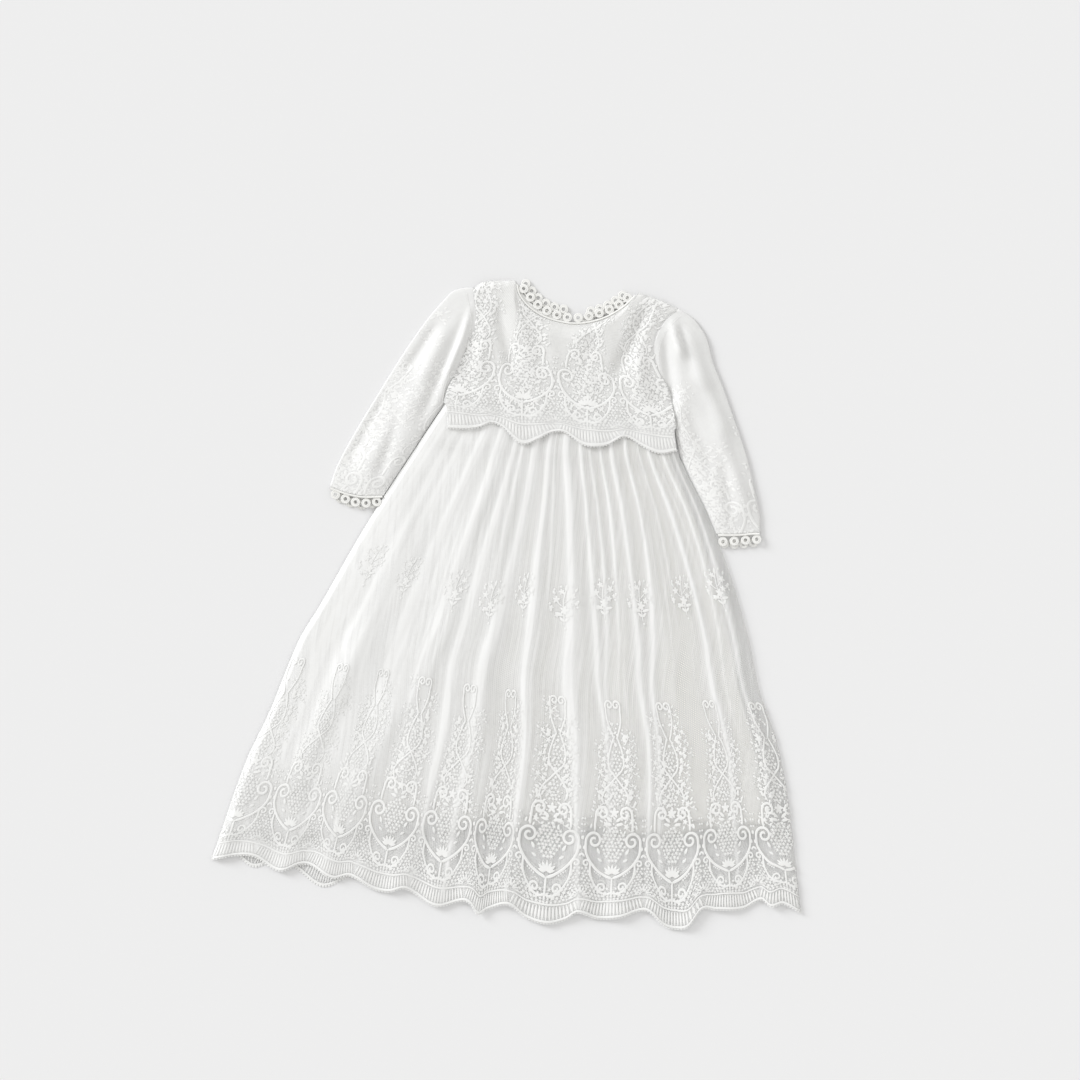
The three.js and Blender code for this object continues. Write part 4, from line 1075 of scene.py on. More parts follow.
def embroidery_tree():
    """Repeats a flat motif at each point of the cloth's UV plane and lays it on the draped cloth."""
    tree, given = tree_with("Embroidery on cloth", Motif="Object", Cloth="Object", Across="Float", Up="Float",
                            Lift="Float", Stitches="Material")
    motif = add_node(tree, "GeometryNodeObjectInfo", {}, {"Object": given["Motif"]})
    cloth_info = add_node(tree, "GeometryNodeObjectInfo", {}, {"Object": given["Cloth"]})
    size = add_node(tree, "ShaderNodeCombineXYZ", {"Z": 1.0}, {"X": given["Across"], "Y": given["Up"]})
    copies = add_node(tree, "GeometryNodeInstanceOnPoints", {},
                      {"Points": given["Geometry"], "Instance": motif.outputs["Geometry"], "Scale": size})
    flat = add_node(tree, "GeometryNodeRealizeInstances", {}, {"Geometry": copies})
    here = add_node(tree, "GeometryNodeInputPosition")
    place = add_node(tree, "GeometryNodeInputNamedAttribute", {"data_type": "FLOAT_VECTOR", "Name": "Cloth"})
    spots = []
    for field in ("GeometryNodeInputPosition", "GeometryNodeInputNormal"):
        spots.append(add_node(tree, "GeometryNodeSampleUVSurface", {"data_type": "FLOAT_VECTOR"}, {
            "Mesh": cloth_info.outputs["Geometry"], "Value": add_node(tree, field), "UV Map": place,
            "Sample UV": here}))
    on_cloth, normal = spots
    parts = add_node(tree, "ShaderNodeSeparateXYZ", {}, {0: here})
    # The motif's heights are millimetres and the lift is metres.
    rise = add_node(tree, "ShaderNodeMath", {"operation": "MULTIPLY_ADD", 1: 0.001},
                    {0: parts.outputs["Z"], 2: given["Lift"]})
    out = add_node(tree, "ShaderNodeVectorMath", {"operation": "SCALE"}, {0: normal, "Scale": rise})
    target = add_node(tree, "ShaderNodeVectorMath", {"operation": "ADD"}, {0: on_cloth, 1: out})
    valid = on_cloth.outputs["Is Valid"]
    missing = add_node(tree, "FunctionNodeBooleanMath", {"operation": "NOT"}, {0: valid})
    # The places off the cloth are marked on the flat plane, before the move, and cut away after it.
    mark = {"data_type": "BOOLEAN", "domain": "POINT", "Name": "off_cloth"}
    store = add_node(tree, "GeometryNodeStoreNamedAttribute", mark, {"Geometry": flat, "Value": missing})
    moved = add_node(tree, "GeometryNodeSetPosition", {}, {"Geometry": store, "Position": target})
    flag = add_node(tree, "GeometryNodeInputNamedAttribute", {"data_type": "BOOLEAN", "Name": "off_cloth"})
    cut = add_node(tree, "GeometryNodeDeleteGeometry", {"domain": "POINT"},
                   {"Geometry": moved, "Selection": flag})
    return end_tree(tree, cut, given["Stitches"])


def cord_tree():
    """Sweeps a round cord along an open line of points."""
    tree, given = tree_with("Cord along edge", Radius="Float", Thread="Material")
    line = add_node(tree, "GeometryNodeMeshToCurve", {}, {"Mesh": given["Geometry"]})
    ring = add_node(tree, "GeometryNodeCurvePrimitiveCircle", {"Resolution": 6}, {"Radius": given["Radius"]})
    swept = add_node(tree, "GeometryNodeCurveToMesh", {"Fill Caps": True},
                     {"Curve": line, "Profile Curve": ring})
    return end_tree(tree, swept, given["Thread"])


def repeat_tree():
    """Sets a piece at even steps along a line of points, turned to follow it."""
    tree, given = tree_with("Pieces along line", Piece="Object", Count="Int", Finish="Material")
    line = add_node(tree, "GeometryNodeMeshToCurve", {}, {"Mesh": given["Geometry"]})
    spots = add_node(tree, "GeometryNodeResampleCurve", {"mode": "COUNT"},
                     {"Curve": line, "Count": given["Count"]})
    piece = add_node(tree, "GeometryNodeObjectInfo", {}, {"Object": given["Piece"]})
    along = add_node(tree, "GeometryNodeInputTangent")
    turn = add_node(tree, "FunctionNodeAlignEulerToVector", {"axis": "X", "pivot_axis": "Z"},
                    {"Vector": along})
    copies = add_node(tree, "GeometryNodeInstanceOnPoints", {},
                      {"Points": spots, "Instance": piece.outputs["Geometry"], "Rotation": turn})
    return end_tree(tree, copies, given["Finish"])


def line_object(name, x, y, z):
    """An open line of points for a tree to follow."""
    points = in_frame(np.asarray(x, float), np.asarray(y, float), np.asarray(z, float) * np.ones(len(x)))
    return mesh_object(name, points, [(i, i + 1) for i in range(len(points) - 1)], [])


def embroider(name, cloth_obj, motif, places, across, up, lift):
    """Lays one motif at several places of a cloth's UV plane."""
    obj = mesh_object(name, [(u, v, 0.0) for u, v in places], [], [])
    run_tree(obj, trees["embroidery"], Motif=motifs[motif], Cloth=cloth_obj, Across=across, Up=up, Lift=lift,
             Stitches=finishes["thread"])
    smooth_shade(obj.data)
    obj.data.update()
    ride(obj, "embroidered_net")
    return obj


def embroider_repeats(prefix, cloth_obj, repeats, up, lift=WORK_LIFT):
    """The border, the scrolls and the columns of every repeat along a lower edge."""
    places = [((k + 0.5) / repeats, 0.0) for k in range(repeats)]
    parts = {"border": "border", "scrolls": "scrolls", "columns": "column"}
    return [embroider(f"{prefix}_{word}", cloth_obj, motif, places, 1 / repeats / BORDER_PITCH, up, lift)
            for word, motif in parts.items()]


def embroider_ground(name, cloth_obj, repeats, up, places):
    """Small sprays at places in flat millimetres."""
    across = 1 / repeats / BORDER_PITCH
    spots = [(x * across, y / up) for x, y in places]
    return embroider(name, cloth_obj, "spray", spots, 1.05 * across, 1.05 / up, GROUND_LIFT)


def from_middle(x):
    """Distance across from the middle of the repeat that x lies in."""
    return abs(x % BORDER_PITCH - BORDER_PITCH / 2)


def scatter(seed, x1, y0, y1, pitch, inside):
    """Jittered places over the flat cloth in millimetres. They thin out over the upper half."""
    rng = np.random.RandomState(seed)
    places = []
    for j in range(int((y1 - y0) / (pitch * 0.87)) + 1):
        for i in range(int(x1 / pitch) + 1):
            x = (i + 0.5 * (j % 2) + rng.uniform(-0.28, 0.28)) * pitch
            y = y0 + (j + rng.uniform(-0.28, 0.28)) * pitch * 0.87
            kept = rng.uniform() > smoothstep(mix(y0, y1, 0.5), y1, y)
            if kept and inside(x, y):
                places.append((x, y))
    return places


def picots(name, x, y, z):
    """The small loops that stand out along a scalloped edge, drawn as filled beads."""
    length = np.hypot(np.diff(x), np.diff(y)).sum()
    obj = line_object(name, x, y, z)
    run_tree(obj, trees["repeat"], Piece=motifs["picot"], Count=int(length / PICOT_STEP),
             Finish=finishes["thread"])
    smooth_shade(obj.data)
    ride(obj, "embroidered_net")
    return obj


def edge_cord(name, x, y, z, radius, finish="thread", slot="embroidered_net"):
    """A round cord along an edge."""
    obj = line_object(name, x, y, z)
    run_tree(obj, trees["cord"], Radius=radius, Thread=finishes[finish])
    ride(obj, slot)
    return obj


# The shared materials, node trees and flat motifs, by name.
finishes = {}
trees = {}
motifs = {}


# The pieces.


def skirt_uv(s, t):
    """Where a point of the skirt lies on the flat cloth, in repeats across and height above the hem."""
    shares = (np.array(SKIRT_NOTCHES) - HEM_ENDS[0]) / (HEM_ENDS[1] - HEM_ENDS[0])
    u = np.interp(s, shares, np.arange(len(shares)) / (len(shares) - 1))
    return u, (1 - t) * WORKED_LENGTH / SKIRT_UP


def skirt_closeness(s, t, fine):
    """The net lies closer in its gathers and in the worked border. It also carries painted side light:
    closer, so whiter, towards the left and above the border, and more open towards the right.
    """
    height = (1 - t) * WORKED_LENGTH
    # Painted side light: the net is made closer towards the left and above the border and more open towards
    # the right, so the left reads lit and the right shaded.
    painted_side_light = 0.28 * smoothstep(70, 130, height) * (1 - 0.8 * smoothstep(0.4, 0.9, s))
    painted_side_light = painted_side_light + 0.52 * (1 - smoothstep(0.05, 0.5, s))
    crowded = 0.6 * fine / (2.2 * GATHER_SCALE) + 0.85 * doubled_edges(s, t)
    return np.clip(crowded + 0.3 * (1 - smoothstep(16, 24, height)) + painted_side_light, 0, 1)


def sprig_places():
    """The sprigs' places on the skirt's own map."""
    places = []
    for x, y in SPRIGS:
        share, _ = skirt_share(x, y)
        u, v = skirt_uv(share, -y / SPRIG_LENGTH)
        places.append((float(u), float(v)))
    return places


def make_skirt_front():
    """The front net, with its folds, gathers and embroidery."""
    s, t = np.meshgrid(np.linspace(0, 1, 471), two_spacings(0.2, 1, 20, 71))
    x, y = skirt_plan(hem_front_at, s, t)
    width = skirt_right(t)[0] - skirt_left(t)[0]
    inside = np.minimum(s, 1 - s) * width
    flutter = 0.9 * smoothstep(0.9, 1, t) * (1 + np.sin(2 * math.pi * 16 * s + 1))
    fine = gathers(s, t)
    # Beside the left sleeve the edge stays up against the sleeve, so no groove opens between them.
    turned = np.where(s < 0.5, smoothstep(0.2, 0.27, t), 1.0)
    soft = crease_height(SKIRT_CREASES, x, y) * smoothstep(10, 40, inside)
    raised = lining_lift(x, y, s, width) + long_folds(s, t) + fine + np.maximum(soft, -0.6 * LAYER)
    z = skirt_back_under(y) + LAYER + raised + flutter * smoothstep(0, 16, inside)
    z = z + side_roll(inside, turned)
    obj = cloth("skirt_front_net", x, y, z + FACE_UP, finishes["net"], skirt_uv(s, t))
    set_density(obj, skirt_closeness(s, t, fine))
    stitched = embroider_repeats("skirt_front", obj, SKIRT_REPEATS, 1 / SKIRT_UP)
    ground = scatter(5, SKIRT_REPEATS * BORDER_PITCH, 98, 230, SPRAY_PITCH,
                     lambda x, y: 7 < from_middle(x) < 21)
    stitched.append(embroider_ground("skirt_front_ground", obj, SKIRT_REPEATS, SKIRT_UP, ground))
    stitched.append(embroider("skirt_front_sprigs", obj, "sprig", sprig_places(),
                              1 / SKIRT_REPEATS / BORDER_PITCH * 1.6, 1.2 / SKIRT_UP, GROUND_LIFT))
    stitched.append(picots("skirt_front_picots", x[-1], y[-1] - 0.2, z[-1] + 0.15))
    thicken(obj, NET_WALL)
    ride(obj, "embroidered_net", "skirt_front")


def make_skirt_back():
    """The back net, flat on the floor, with the same embroidered border."""
    s, t = np.meshgrid(np.linspace(0, 1, 120), two_spacings(0.2, 1, 12, 40))
    x, y = skirt_plan(hem_back_at, s, t)
    y = y - (SEAM_ALLOWANCE + 0.3) * (1 - t) ** 3
    z = skirt_back_under(y) + BACK_FACE_UP
    obj = cloth("skirt_back_net", x, y, z, finishes["net"], skirt_uv(s, t))
    stitched = embroider_repeats("skirt_back", obj, SKIRT_REPEATS, 1 / SKIRT_UP, FLAT_LIFT)
    stitched.append(picots("skirt_back_picots", x[-1], y[-1] - 0.2, z[-1] - 0.1))
    thicken(obj, NET_WALL)
    ride(obj, "embroidered_net", "skirt_back")


def make_linings():
    """Both linings. The front one takes up a share of the folds that the net over it makes."""
    for name, hem_at, level, share in (("lining_back", lining_back_at, 1, 0.0),
                                       ("lining_front", lining_front_at, 2, 0.55)):
        s, t = np.meshgrid(np.linspace(0, 1, 161), np.linspace(0, 1, 71))
        x, y = lining_plan(hem_at, s, t)
        su, tu = skirt_share(x, y)
        sway = 2.2 * np.sin(x * 0.11 + level) + 3.0 * np.sin(x * 0.043 + 2 * level)
        y = y - sway * smoothstep(0.6, 1, t)
        edge = smoothstep(0, 0.03, s) * smoothstep(0, 0.03, 1 - s) * smoothstep(0, 0.05, t)
        folded = share * (long_folds(su, tu) + gathers(su, tu)) * edge
        z = skirt_back_under(y) + level * LAYER + BACK_FACE_UP + folded
        obj = cloth(name + "_cloth", x, y, z, finishes["lining"])
        thicken(obj, NET_WALL)
        ride(obj, "lining", name)


def make_overlay_front():
    """The embroidered net over the satin front, down to its scalloped edge."""
    s, t = np.meshgrid(np.linspace(0, 1, 181), two_spacings(1, 2, 61, 14))
    x, y = bodice_plan(neck_front, s, t)
    z = overlay_front_under(s, t, x, y)
    near_side = 1 - smoothstep(0, 6, np.minimum(s, 1 - s) * bodice_width(t))
    outward = np.where(s < 0.5, -1, 1)
    x = x + outward * 2.4 * near_side * smoothstep(0, 0.03, t) * (1 - smoothstep(1.0, 1.1, t))
    ripple = 0.25 * np.sin(x * 0.21 + 0.06 * y) * smoothstep(0, 0.15, t)
    ripple = ripple * smoothstep(0, 0.1, np.minimum(s, 1 - s))
    notches = (np.array(OVERLAY_NOTCHES, float) - OVERLAY_ENDS[0]) / (OVERLAY_ENDS[1] - OVERLAY_ENDS[0])
    u = np.interp(s, notches, np.arange(len(notches)) / (len(notches) - 1), left=0, right=1)
    # Height above the scalloped edge, which hangs about 23 mm below the waist.
    drop = 23
    height = np.where(t > 1, (2 - t) * drop, drop + y + 2)
    obj = cloth("overlay_front_net", x, y, z + ripple + FACE_UP, finishes["net_close"],
                (u, np.maximum(height, 0) / OVERLAY_UP))
    stitched = embroider_repeats("overlay", obj, OVERLAY_REPEATS, 0.86 / OVERLAY_UP)
    ground = scatter(9, OVERLAY_REPEATS * BORDER_PITCH, 30, 260, SPRAY_PITCH,
                     lambda x, y: from_middle(x) < (24 if y < 75 else 17))
    stitched.append(embroider_ground("overlay_ground", obj, OVERLAY_REPEATS, OVERLAY_UP, ground))
    hem_s, hem_t = np.linspace(0, 1, 120), np.full(120, 2.0)
    hx, hy = bodice_plan(neck_front, hem_s, hem_t)
    hz = overlay_front_under(hem_s, hem_t, hx, hy)
    stitched.append(edge_cord("overlay_edging", hx, hy, hz + 0.4, 0.0008))
    set_density(obj, 0.6 * (1 - smoothstep(20, 32, height)))
    stitched.append(picots("overlay_picots", hx, hy - 0.8, hz + 0.1))
    thicken(obj, NET_WALL)
    ride(obj, "embroidered_net", "overlay_front")


def make_bodice_front():
    """The satin front, a little inside the overlay's edges."""
    s, t = np.meshgrid(np.linspace(0, 1, 121), np.linspace(0, 1, 61))
    across = inset_shares(s, t)
    down = inset_down(across, t)
    x, y = bodice_plan(neck_front, across, down)
    y = y - SEAM_ALLOWANCE * smoothstep(0.6, 1, t)
    z = bodice_front_under(across, down, x, y) + FACE_UP
    obj = cloth("bodice_front_satin", x, y, z, finishes["satin"])
    thicken(obj, SATIN_WALL)
    ride(obj, "satin", "bodice_front")


def back_half(side, plan, s, t):
    """Plan of one half of the back, which opens down the middle: wider at the neck than at the waist."""
    whole = mix(0, 0.5, s) if side < 0 else mix(0.5, 1, s)
    x, y = plan(whole, t)
    half = mix(7, 0.3, smoothstep(0, 1, np.minimum(t, 1)))
    pull = s if side < 0 else 1 - s
    middle = plan(np.full_like(s, 0.5), t)[0]
    edge = 6 * (1 - np.minimum(t, 1)) + side * half
    return x + (edge - middle) * pull**3, y


def satin_back_plan(s, t):
    """Plan of the whole satin back, before it is parted down the middle."""
    across = inset_shares(s, t)
    x, y = bodice_plan(neck_back, across, inset_down(across, t))
    return x, y - SEAM_ALLOWANCE * smoothstep(0.6, 1, t)


def make_bodice_backs():
    """The two halves of the overlay's back and of the satin back, flat on the floor."""
    for side, word in ((-1, "left"), (1, "right")):
        s, t = np.meshgrid(np.linspace(0, 1, 41), two_spacings(1, 2, 41, 8))
        x, y = back_half(side, lambda a, b: bodice_plan(neck_back, a, b), s, t)
        obj = cloth(f"overlay_back_{word}_net", x, y, np.full_like(x, BACK_FACE_UP), finishes["net_close"])
        thicken(obj, NET_WALL)
        ride(obj, "embroidered_net", f"overlay_back_{word}")
        s, t = np.meshgrid(np.linspace(0, 1, 41), np.linspace(0, 1, 41))
        x, y = back_half(side, satin_back_plan, s, t)
        obj = cloth(f"bodice_back_{word}_satin", x, y, np.full_like(x, LAYER + FACE_UP), finishes["satin"])
        thicken(obj, SATIN_WALL)
        ride(obj, "satin", f"bodice_back_{word}")


def sleeve_edges(side, body, skirt, outer_points, cuff_points, underarm, skirt_part):
    """The four edges of a sleeve's plan, with a small gap beside the body: the armhole, the inner edge
    along the body and the skirt, the outer edge and the cuff."""
    gap = side * 0.4
    armhole = smooth_curve(stretch_of(body, 0, underarm, 10, gap))
    inner = smooth_curve(stretch_of(body, underarm, 1, 6, gap) + stretch_of(skirt, 0, skirt_part, 8, gap)[1:])
    start, end = [[float(value) for value in spot] for spot in (armhole(0.0), inner(1.0))]
    outer = smooth_curve([start] + outer_points[1:])
    cuff = smooth_curve(cuff_points + [end])
    return armhole, inner, outer, cuff


SLEEVES = {
    "left": sleeve_edges(-1, body_left, skirt_left, SLEEVE_LEFT_OUTER, CUFF_LEFT, 0.55, 0.216),
    "right": sleeve_edges(1, body_right, skirt_right, SLEEVE_RIGHT_OUTER, CUFF_RIGHT, 0.62, 0.228),
}
SLEEVE_CREASES = {"left": SLEEVE_LEFT_CREASES, "right": SLEEVE_RIGHT_CREASES}
# How far towards the body each sleeve is fullest: 1 is its middle, and more lies nearer the body.
SLEEVE_FULLNESS = {"left": 2.1, "right": 1.35}
# Millimetres across and along a sleeve that make one unit of its own map, and the cuff's height there.
SLEEVE_ACROSS = 200
SLEEVE_UP = 300
CUFF_HEIGHT = 0.1
# Length in metres, and how many sections round a sleeve its tube is drawn with.
SLEEVE_LENGTH = 0.26
SLEEVE_SECTIONS = 90
# Each column on a sleeve: its middle as a share across, and how much of it the cuff cuts off.
SLEEVE_COLUMNS = {"left": [(0.34, 64), (0.69, 64)], "right": [(0.6, 52), (0.26, 52)]}
# The embroidered part of each sleeve: middle and half-width across, and height above the cuff.
SLEEVE_GROUND = {"left": (0.36, 0.2, 230), "right": (0.58, 0.15, 190)}
# How closely the net lies on each sleeve, from open to hidden ground.
SLEEVE_CLOSENESS = {"left": 0.6, "right": 0.5}


def sleeve_plan(word, u, t):
    """Plan of a sleeve: u runs from its outer edge to the body, t from the armhole to the cuff."""
    armhole, inner, outer, cuff = SLEEVES[word]
    return patch_point(armhole, cuff, outer, inner, u, t)


def sleeve_top(word, u, t, x, y):
    """Height of the upper side of a flattened sleeve, fullest towards the body."""
    bulge = np.sin(math.pi * np.clip(u, 0, 1) ** SLEEVE_FULLNESS[word])
    flat = np.sin(math.pi * np.clip(u, 0, 1)) ** 0.6
    heights = smoothstep(0, 0.08, t) * smoothstep(0, 0.12, 1 - t)
    creased = 1.7 * crease_height(SLEEVE_CREASES[word], x, y)
    creased = creased * smoothstep(0, 0.15, u) * smoothstep(0, 0.12, 1 - u)
    return 3.1 + mix(1.2 * flat, 1.2 * flat + 3.4 * bulge + creased, heights)


def sleeve_section(word, t, drop):
    """One closed loop round a sleeve, at a share of its length and some millimetres inside its skin:
    up its outer side, over its top, down its inner side and back along its flat underside. Gives its
    points and the metres across it."""
    cap, top, low = 6, 26, 8
    (ax, ay), (bx, by) = sleeve_plan(word, 0.0, t), sleeve_plan(word, 1.0, t)
    width = math.hypot(bx - ax, by - ay)
    radius = 1.55 - drop
    rim, reach = drop / width, radius / width
    turn = math.pi * np.arange(cap + 1) / cap
    up, down = -math.pi / 2 - turn, math.pi / 2 - turn
    u = np.concatenate([
        rim + reach * (1 + np.cos(up)),
        mix(rim + reach, 1 - rim - reach, np.arange(1, top) / top),
        1 - rim - reach * (1 - np.cos(down)),
        mix(1 - rim - reach, rim + reach, np.arange(1, low) / low),
    ])
    x, y = sleeve_plan(word, u, np.full_like(u, t))
    z = sleeve_top(word, u, np.full_like(u, t), x, y) - drop
    z[:cap + 1] = 1.6 + radius * np.sin(up)
    z[cap + top:2 * cap + top + 1] = 1.6 + radius * np.sin(down)
    z[2 * cap + top + 1:] = 0.05 + drop
    return in_frame(x, y, z), u * width / 1000


def make_sleeve_tube(word, name, finish, drop):
    """A sleeve's cloth all round, as one closed tube."""
    shares = np.arange(SLEEVE_SECTIONS + 1) / SLEEVE_SECTIONS
    sections = [sleeve_section(word, t, drop) for t in shares]
    points = np.array([section[0] for section in sections])
    faces = grid_faces(*points.shape[:2], around=True)
    # The right sleeve's edges run the other way round, so its faces are turned to look outwards.
    if word == "right":
        faces = [face[::-1] for face in faces]
    obj = new_object(name, points, faces, finishes[finish])
    across = np.array([section[1] for section in sections])
    set_uv(obj, "Yarn", across, np.broadcast_to(shares[:, None] * SLEEVE_LENGTH, across.shape))
    thicken(obj, SLEEVE_WALL)
    return obj


def embroider_sleeve(word):
    """The embroidery, which the upper side alone carries, in real millimetres from the cuff."""
    u, t = np.meshgrid(np.linspace(0.02, 0.98, 41), np.linspace(0, 1, 91))
    x, y = sleeve_plan(word, u, t)
    left_x, left_y = sleeve_plan(word, np.zeros_like(u), t)
    right_x, right_y = sleeve_plan(word, np.ones_like(u), t)
    width = np.hypot(right_x - left_x, right_y - left_y)
    steps = np.hypot(np.diff(x, axis=0), np.diff(y, axis=0))
    from_cuff = np.concatenate([np.cumsum(steps[::-1], axis=0)[::-1], np.zeros((1, x.shape[1]))])
    guide = cloth(f"sleeve_{word}_guide", x, y, sleeve_top(word, u, t, x, y), finishes["net"],
                  (0.5 + (u - 0.5) * width / SLEEVE_ACROSS, from_cuff / SLEEVE_UP + CUFF_HEIGHT))
    if word == "right":
        guide.data.flip_normals()
    places = [(share, CUFF_HEIGHT - cut / SLEEVE_UP) for share, cut in SLEEVE_COLUMNS[word]]
    for part, motif in (("scrolls", "scrolls"), ("columns", "column")):
        embroider(f"sleeve_{word}_{part}", guide, motif, places, 1 / SLEEVE_ACROSS, 1 / SLEEVE_UP, FLAT_LIFT)
    middle, reach, tall = SLEEVE_GROUND[word]
    ground = scatter(13, SLEEVE_ACROSS, 0, tall, 16.0, lambda x, y: abs(x / SLEEVE_ACROSS - middle) < reach)
    embroider(f"sleeve_{word}_ground", guide, "spray",
              [(x / SLEEVE_ACROSS, y / SLEEVE_UP + CUFF_HEIGHT) for x, y in ground],
              1.3 / SLEEVE_ACROSS, 1.3 / SLEEVE_UP, FLAT_LIFT / 2)
    bpy.data.objects.remove(guide)


def make_sleeves():
    """Both sleeves, net over satin, with their embroidery."""
    for word in ("left", "right"):
        satin = make_sleeve_tube(word, f"sleeve_{word}_satin", "satin", 0.4)
        ride(satin, "satin", f"sleeve_{word}")
        net = make_sleeve_tube(word, f"sleeve_{word}_net", "net_close", 0.0)
        set_density(net, np.full(len(net.data.vertices), SLEEVE_CLOSENESS[word]))
        ride(net, "embroidered_net")
        embroider_sleeve(word)


def ring_mesh():
    """One lace ring with a rim round its hole and a rim round its outside."""
    profile = [(1.95, 0.0), (2.0, 0.75), (2.6, 1.05), (3.3, 0.6), (3.9, 0.55), (4.6, 0.95), (5.15, 0.6),
               (5.2, 0.0)]
    turns = 22
    points = []
    for k in range(turns):
        angle = 2 * math.pi * k / turns
        for radius, height in profile:
            points.append((radius * math.cos(angle) / 1000, radius * math.sin(angle) / 1000, height / 1000))
    return pattern_object("lace_ring", points, grid_faces(turns, len(profile), True, True), "lace")


def make_trims():
    """The rows of lace rings and the binding that holds each row to its edge."""
    ring = ring_mesh()
    cuffs = {word: edges[3] for word, edges in SLEEVES.items()}
    # The edge each row is bound to, the part of it that the binding covers, and its height.
    seams = {
        "neck_trim_front": (neck_front, 0.03, 0.97, 3.6),
        "neck_trim_back_left": (neck_back, 0.05, 0.435, 1.5),
        "neck_trim_back_right": (neck_back, 0.565, 0.95, 1.5),
        "cuff_trim_left_front": (cuffs["left"], 0.02, 0.97, 3.9),
        "cuff_trim_left_back": (cuffs["left"], 0.1, 0.92, 1.3),
        "cuff_trim_right_front": (cuffs["right"], 0.03, 0.96, 3.9),
        "cuff_trim_right_back": (cuffs["right"], 0.04, 0.9, 1.3),
    }
    for name, level, count, centres in RING_ROWS:
        x, y = smooth_curve(centres)(np.linspace(0, 1, 60))
        row = line_object(name + "_rings", x, y, level)
        run_tree(row, trees["repeat"], Piece=ring, Count=count, Finish=finishes["lace"])
        smooth_shade(row.data)
        ride(row, "ring_lace", name)
        curve, start, end, height = seams[name]
        x, y = curve(np.linspace(start, end, 60))
        outward, apart = (1, 1.3) if name.startswith("neck") else (-1, 1.2)
        dx, dy = np.gradient(x), np.gradient(y)
        way = np.where(dx > 0, 1, -1) * outward
        norm = np.hypot(dx, dy)
        x, y = x - dy / norm * apart * way, y + dx / norm * apart * way
        edge_cord(name + "_binding", x, y, height, 0.0012, "lace", "ring_lace")


def make_seams():
    """Stitch lines along the sleeves' side of both armholes."""
    length, count, down = 2.6, 24, 0.035
    bar = Stitching()
    bar.stroke([(-length / 2, 0), (0, 0), (length / 2, 0)], width=0.7, height=0.35, step=length / 3)
    stitch = bar.pattern("stitch", 0.001)
    u = np.linspace(0.06, 0.94, 60)
    for word in ("left", "right"):
        x, y = sleeve_plan(word, 0.03 + u * 0.94, np.full_like(u, down))
        z = sleeve_top(word, u, np.full_like(u, down), x, y) + 0.35
        obj = line_object(f"armhole_stitches_{word}", x, y, z)
        run_tree(obj, trees["repeat"], Piece=stitch, Count=count, Finish=finishes["thread"])
        ride(obj, "satin")


# Floor, light and camera.


# Lengths in metres, angles in degrees.
FLOOR_HALF = 3.0
FLOOR_DEPTH = -0.0004
CAMERA_PLACE = (-0.0025, 0.0672, 3.0)
CAMERA_TURN = 6
PICTURE_WIDTH = 1.188
SENSOR_WIDTH = 36
DAYLIGHT = (0.965, 0.975, 1.0)
FILL_LIGHT = (1.0, 0.996, 0.988, 1)


def make_stage(light):
    """The floor, a camera that looks straight down, a wide soft window light and an even fill."""
    scene = bpy.context.scene
    corners = [(-1, -1), (1, -1), (1, 1), (-1, 1)]
    floor = new_object("floor", [(x * FLOOR_HALF, y * FLOOR_HALF, FLOOR_DEPTH) for x, y in corners],
                       [(0, 1, 2, 3)], finishes["floor"], smooth=False)
    camera_data = bpy.data.cameras.new("camera")
    camera_data.lens = SENSOR_WIDTH * CAMERA_PLACE[2] / PICTURE_WIDTH
    camera_data.sensor_width = SENSOR_WIDTH
    camera = bpy.data.objects.new("camera", camera_data)
    camera.location = CAMERA_PLACE
    camera.rotation_euler = (0, 0, math.radians(CAMERA_TURN))
    scene.collection.objects.link(camera)
    scene.camera = camera
    window_data = bpy.data.lights.new("window", "SUN")
    window_data.angle = math.radians(light.window_softness)
    window_data.energy = light.window_strength
    window_data.color = DAYLIGHT
    window = bpy.data.objects.new("window", window_data)
    toward = Vector(light.window_from).normalized()
    window.location = toward
    window.rotation_euler = toward.to_track_quat("Z", "Y").to_euler()
    scene.collection.objects.link(window)
    world = bpy.data.worlds.new("studio")
    world.use_nodes = True
    background = world.node_tree.nodes["Background"]
    background.inputs[0].default_value = FILL_LIGHT
    background.inputs[1].default_value = light.fill_strength
    scene.world = world
    scene.view_settings.view_transform = "Standard"
    scene.view_settings.look = "None"
    scene.view_settings.exposure = 0
    scene.view_settings.gamma = 1


# The add-on.


class GownFinish(bpy.types.PropertyGroup):
    """Colours of the gown's cloths and of the surface it lies on."""

    net_colour: bpy.props.StringProperty(
        name="Net colour", description="Colour of the net as sRGB hex", default="#FAFAF9")
    net_shade: bpy.props.StringProperty(
        name="Net shade", description="The darker white of the net as sRGB hex", default="#F3F3F1")
    thread_colour: bpy.props.StringProperty(
        name="Thread colour", description="Colour of the embroidery as sRGB hex", default="#F2F2F0")
    paper_colour: bpy.props.StringProperty(
        name="Paper colour", description="Colour of the studio paper as sRGB hex", default="#E9E9E9")
    net_cover: bpy.props.FloatProperty(
        name="Net cover", description="How much of the light a net thread stops",
        default=0.3, min=0, max=1, subtype="FACTOR")


class GownLight(bpy.types.PropertyGroup):
    """The soft studio light."""

    window_strength: bpy.props.FloatProperty(
        name="Window strength", description="Strength of the window light", default=2.2, min=0)
    window_softness: bpy.props.FloatProperty(
        name="Window softness", description="Width of the window in degrees", default=20.0, min=0, max=90)
    fill_strength: bpy.props.FloatProperty(
        name="Fill strength", description="Strength of the light from all round", default=0.82, min=0)
    window_from: bpy.props.FloatVectorProperty(
        name="Window direction", description="Where the window light comes from",
        default=(-0.8, 0.43, 0.33), subtype="DIRECTION", size=3)


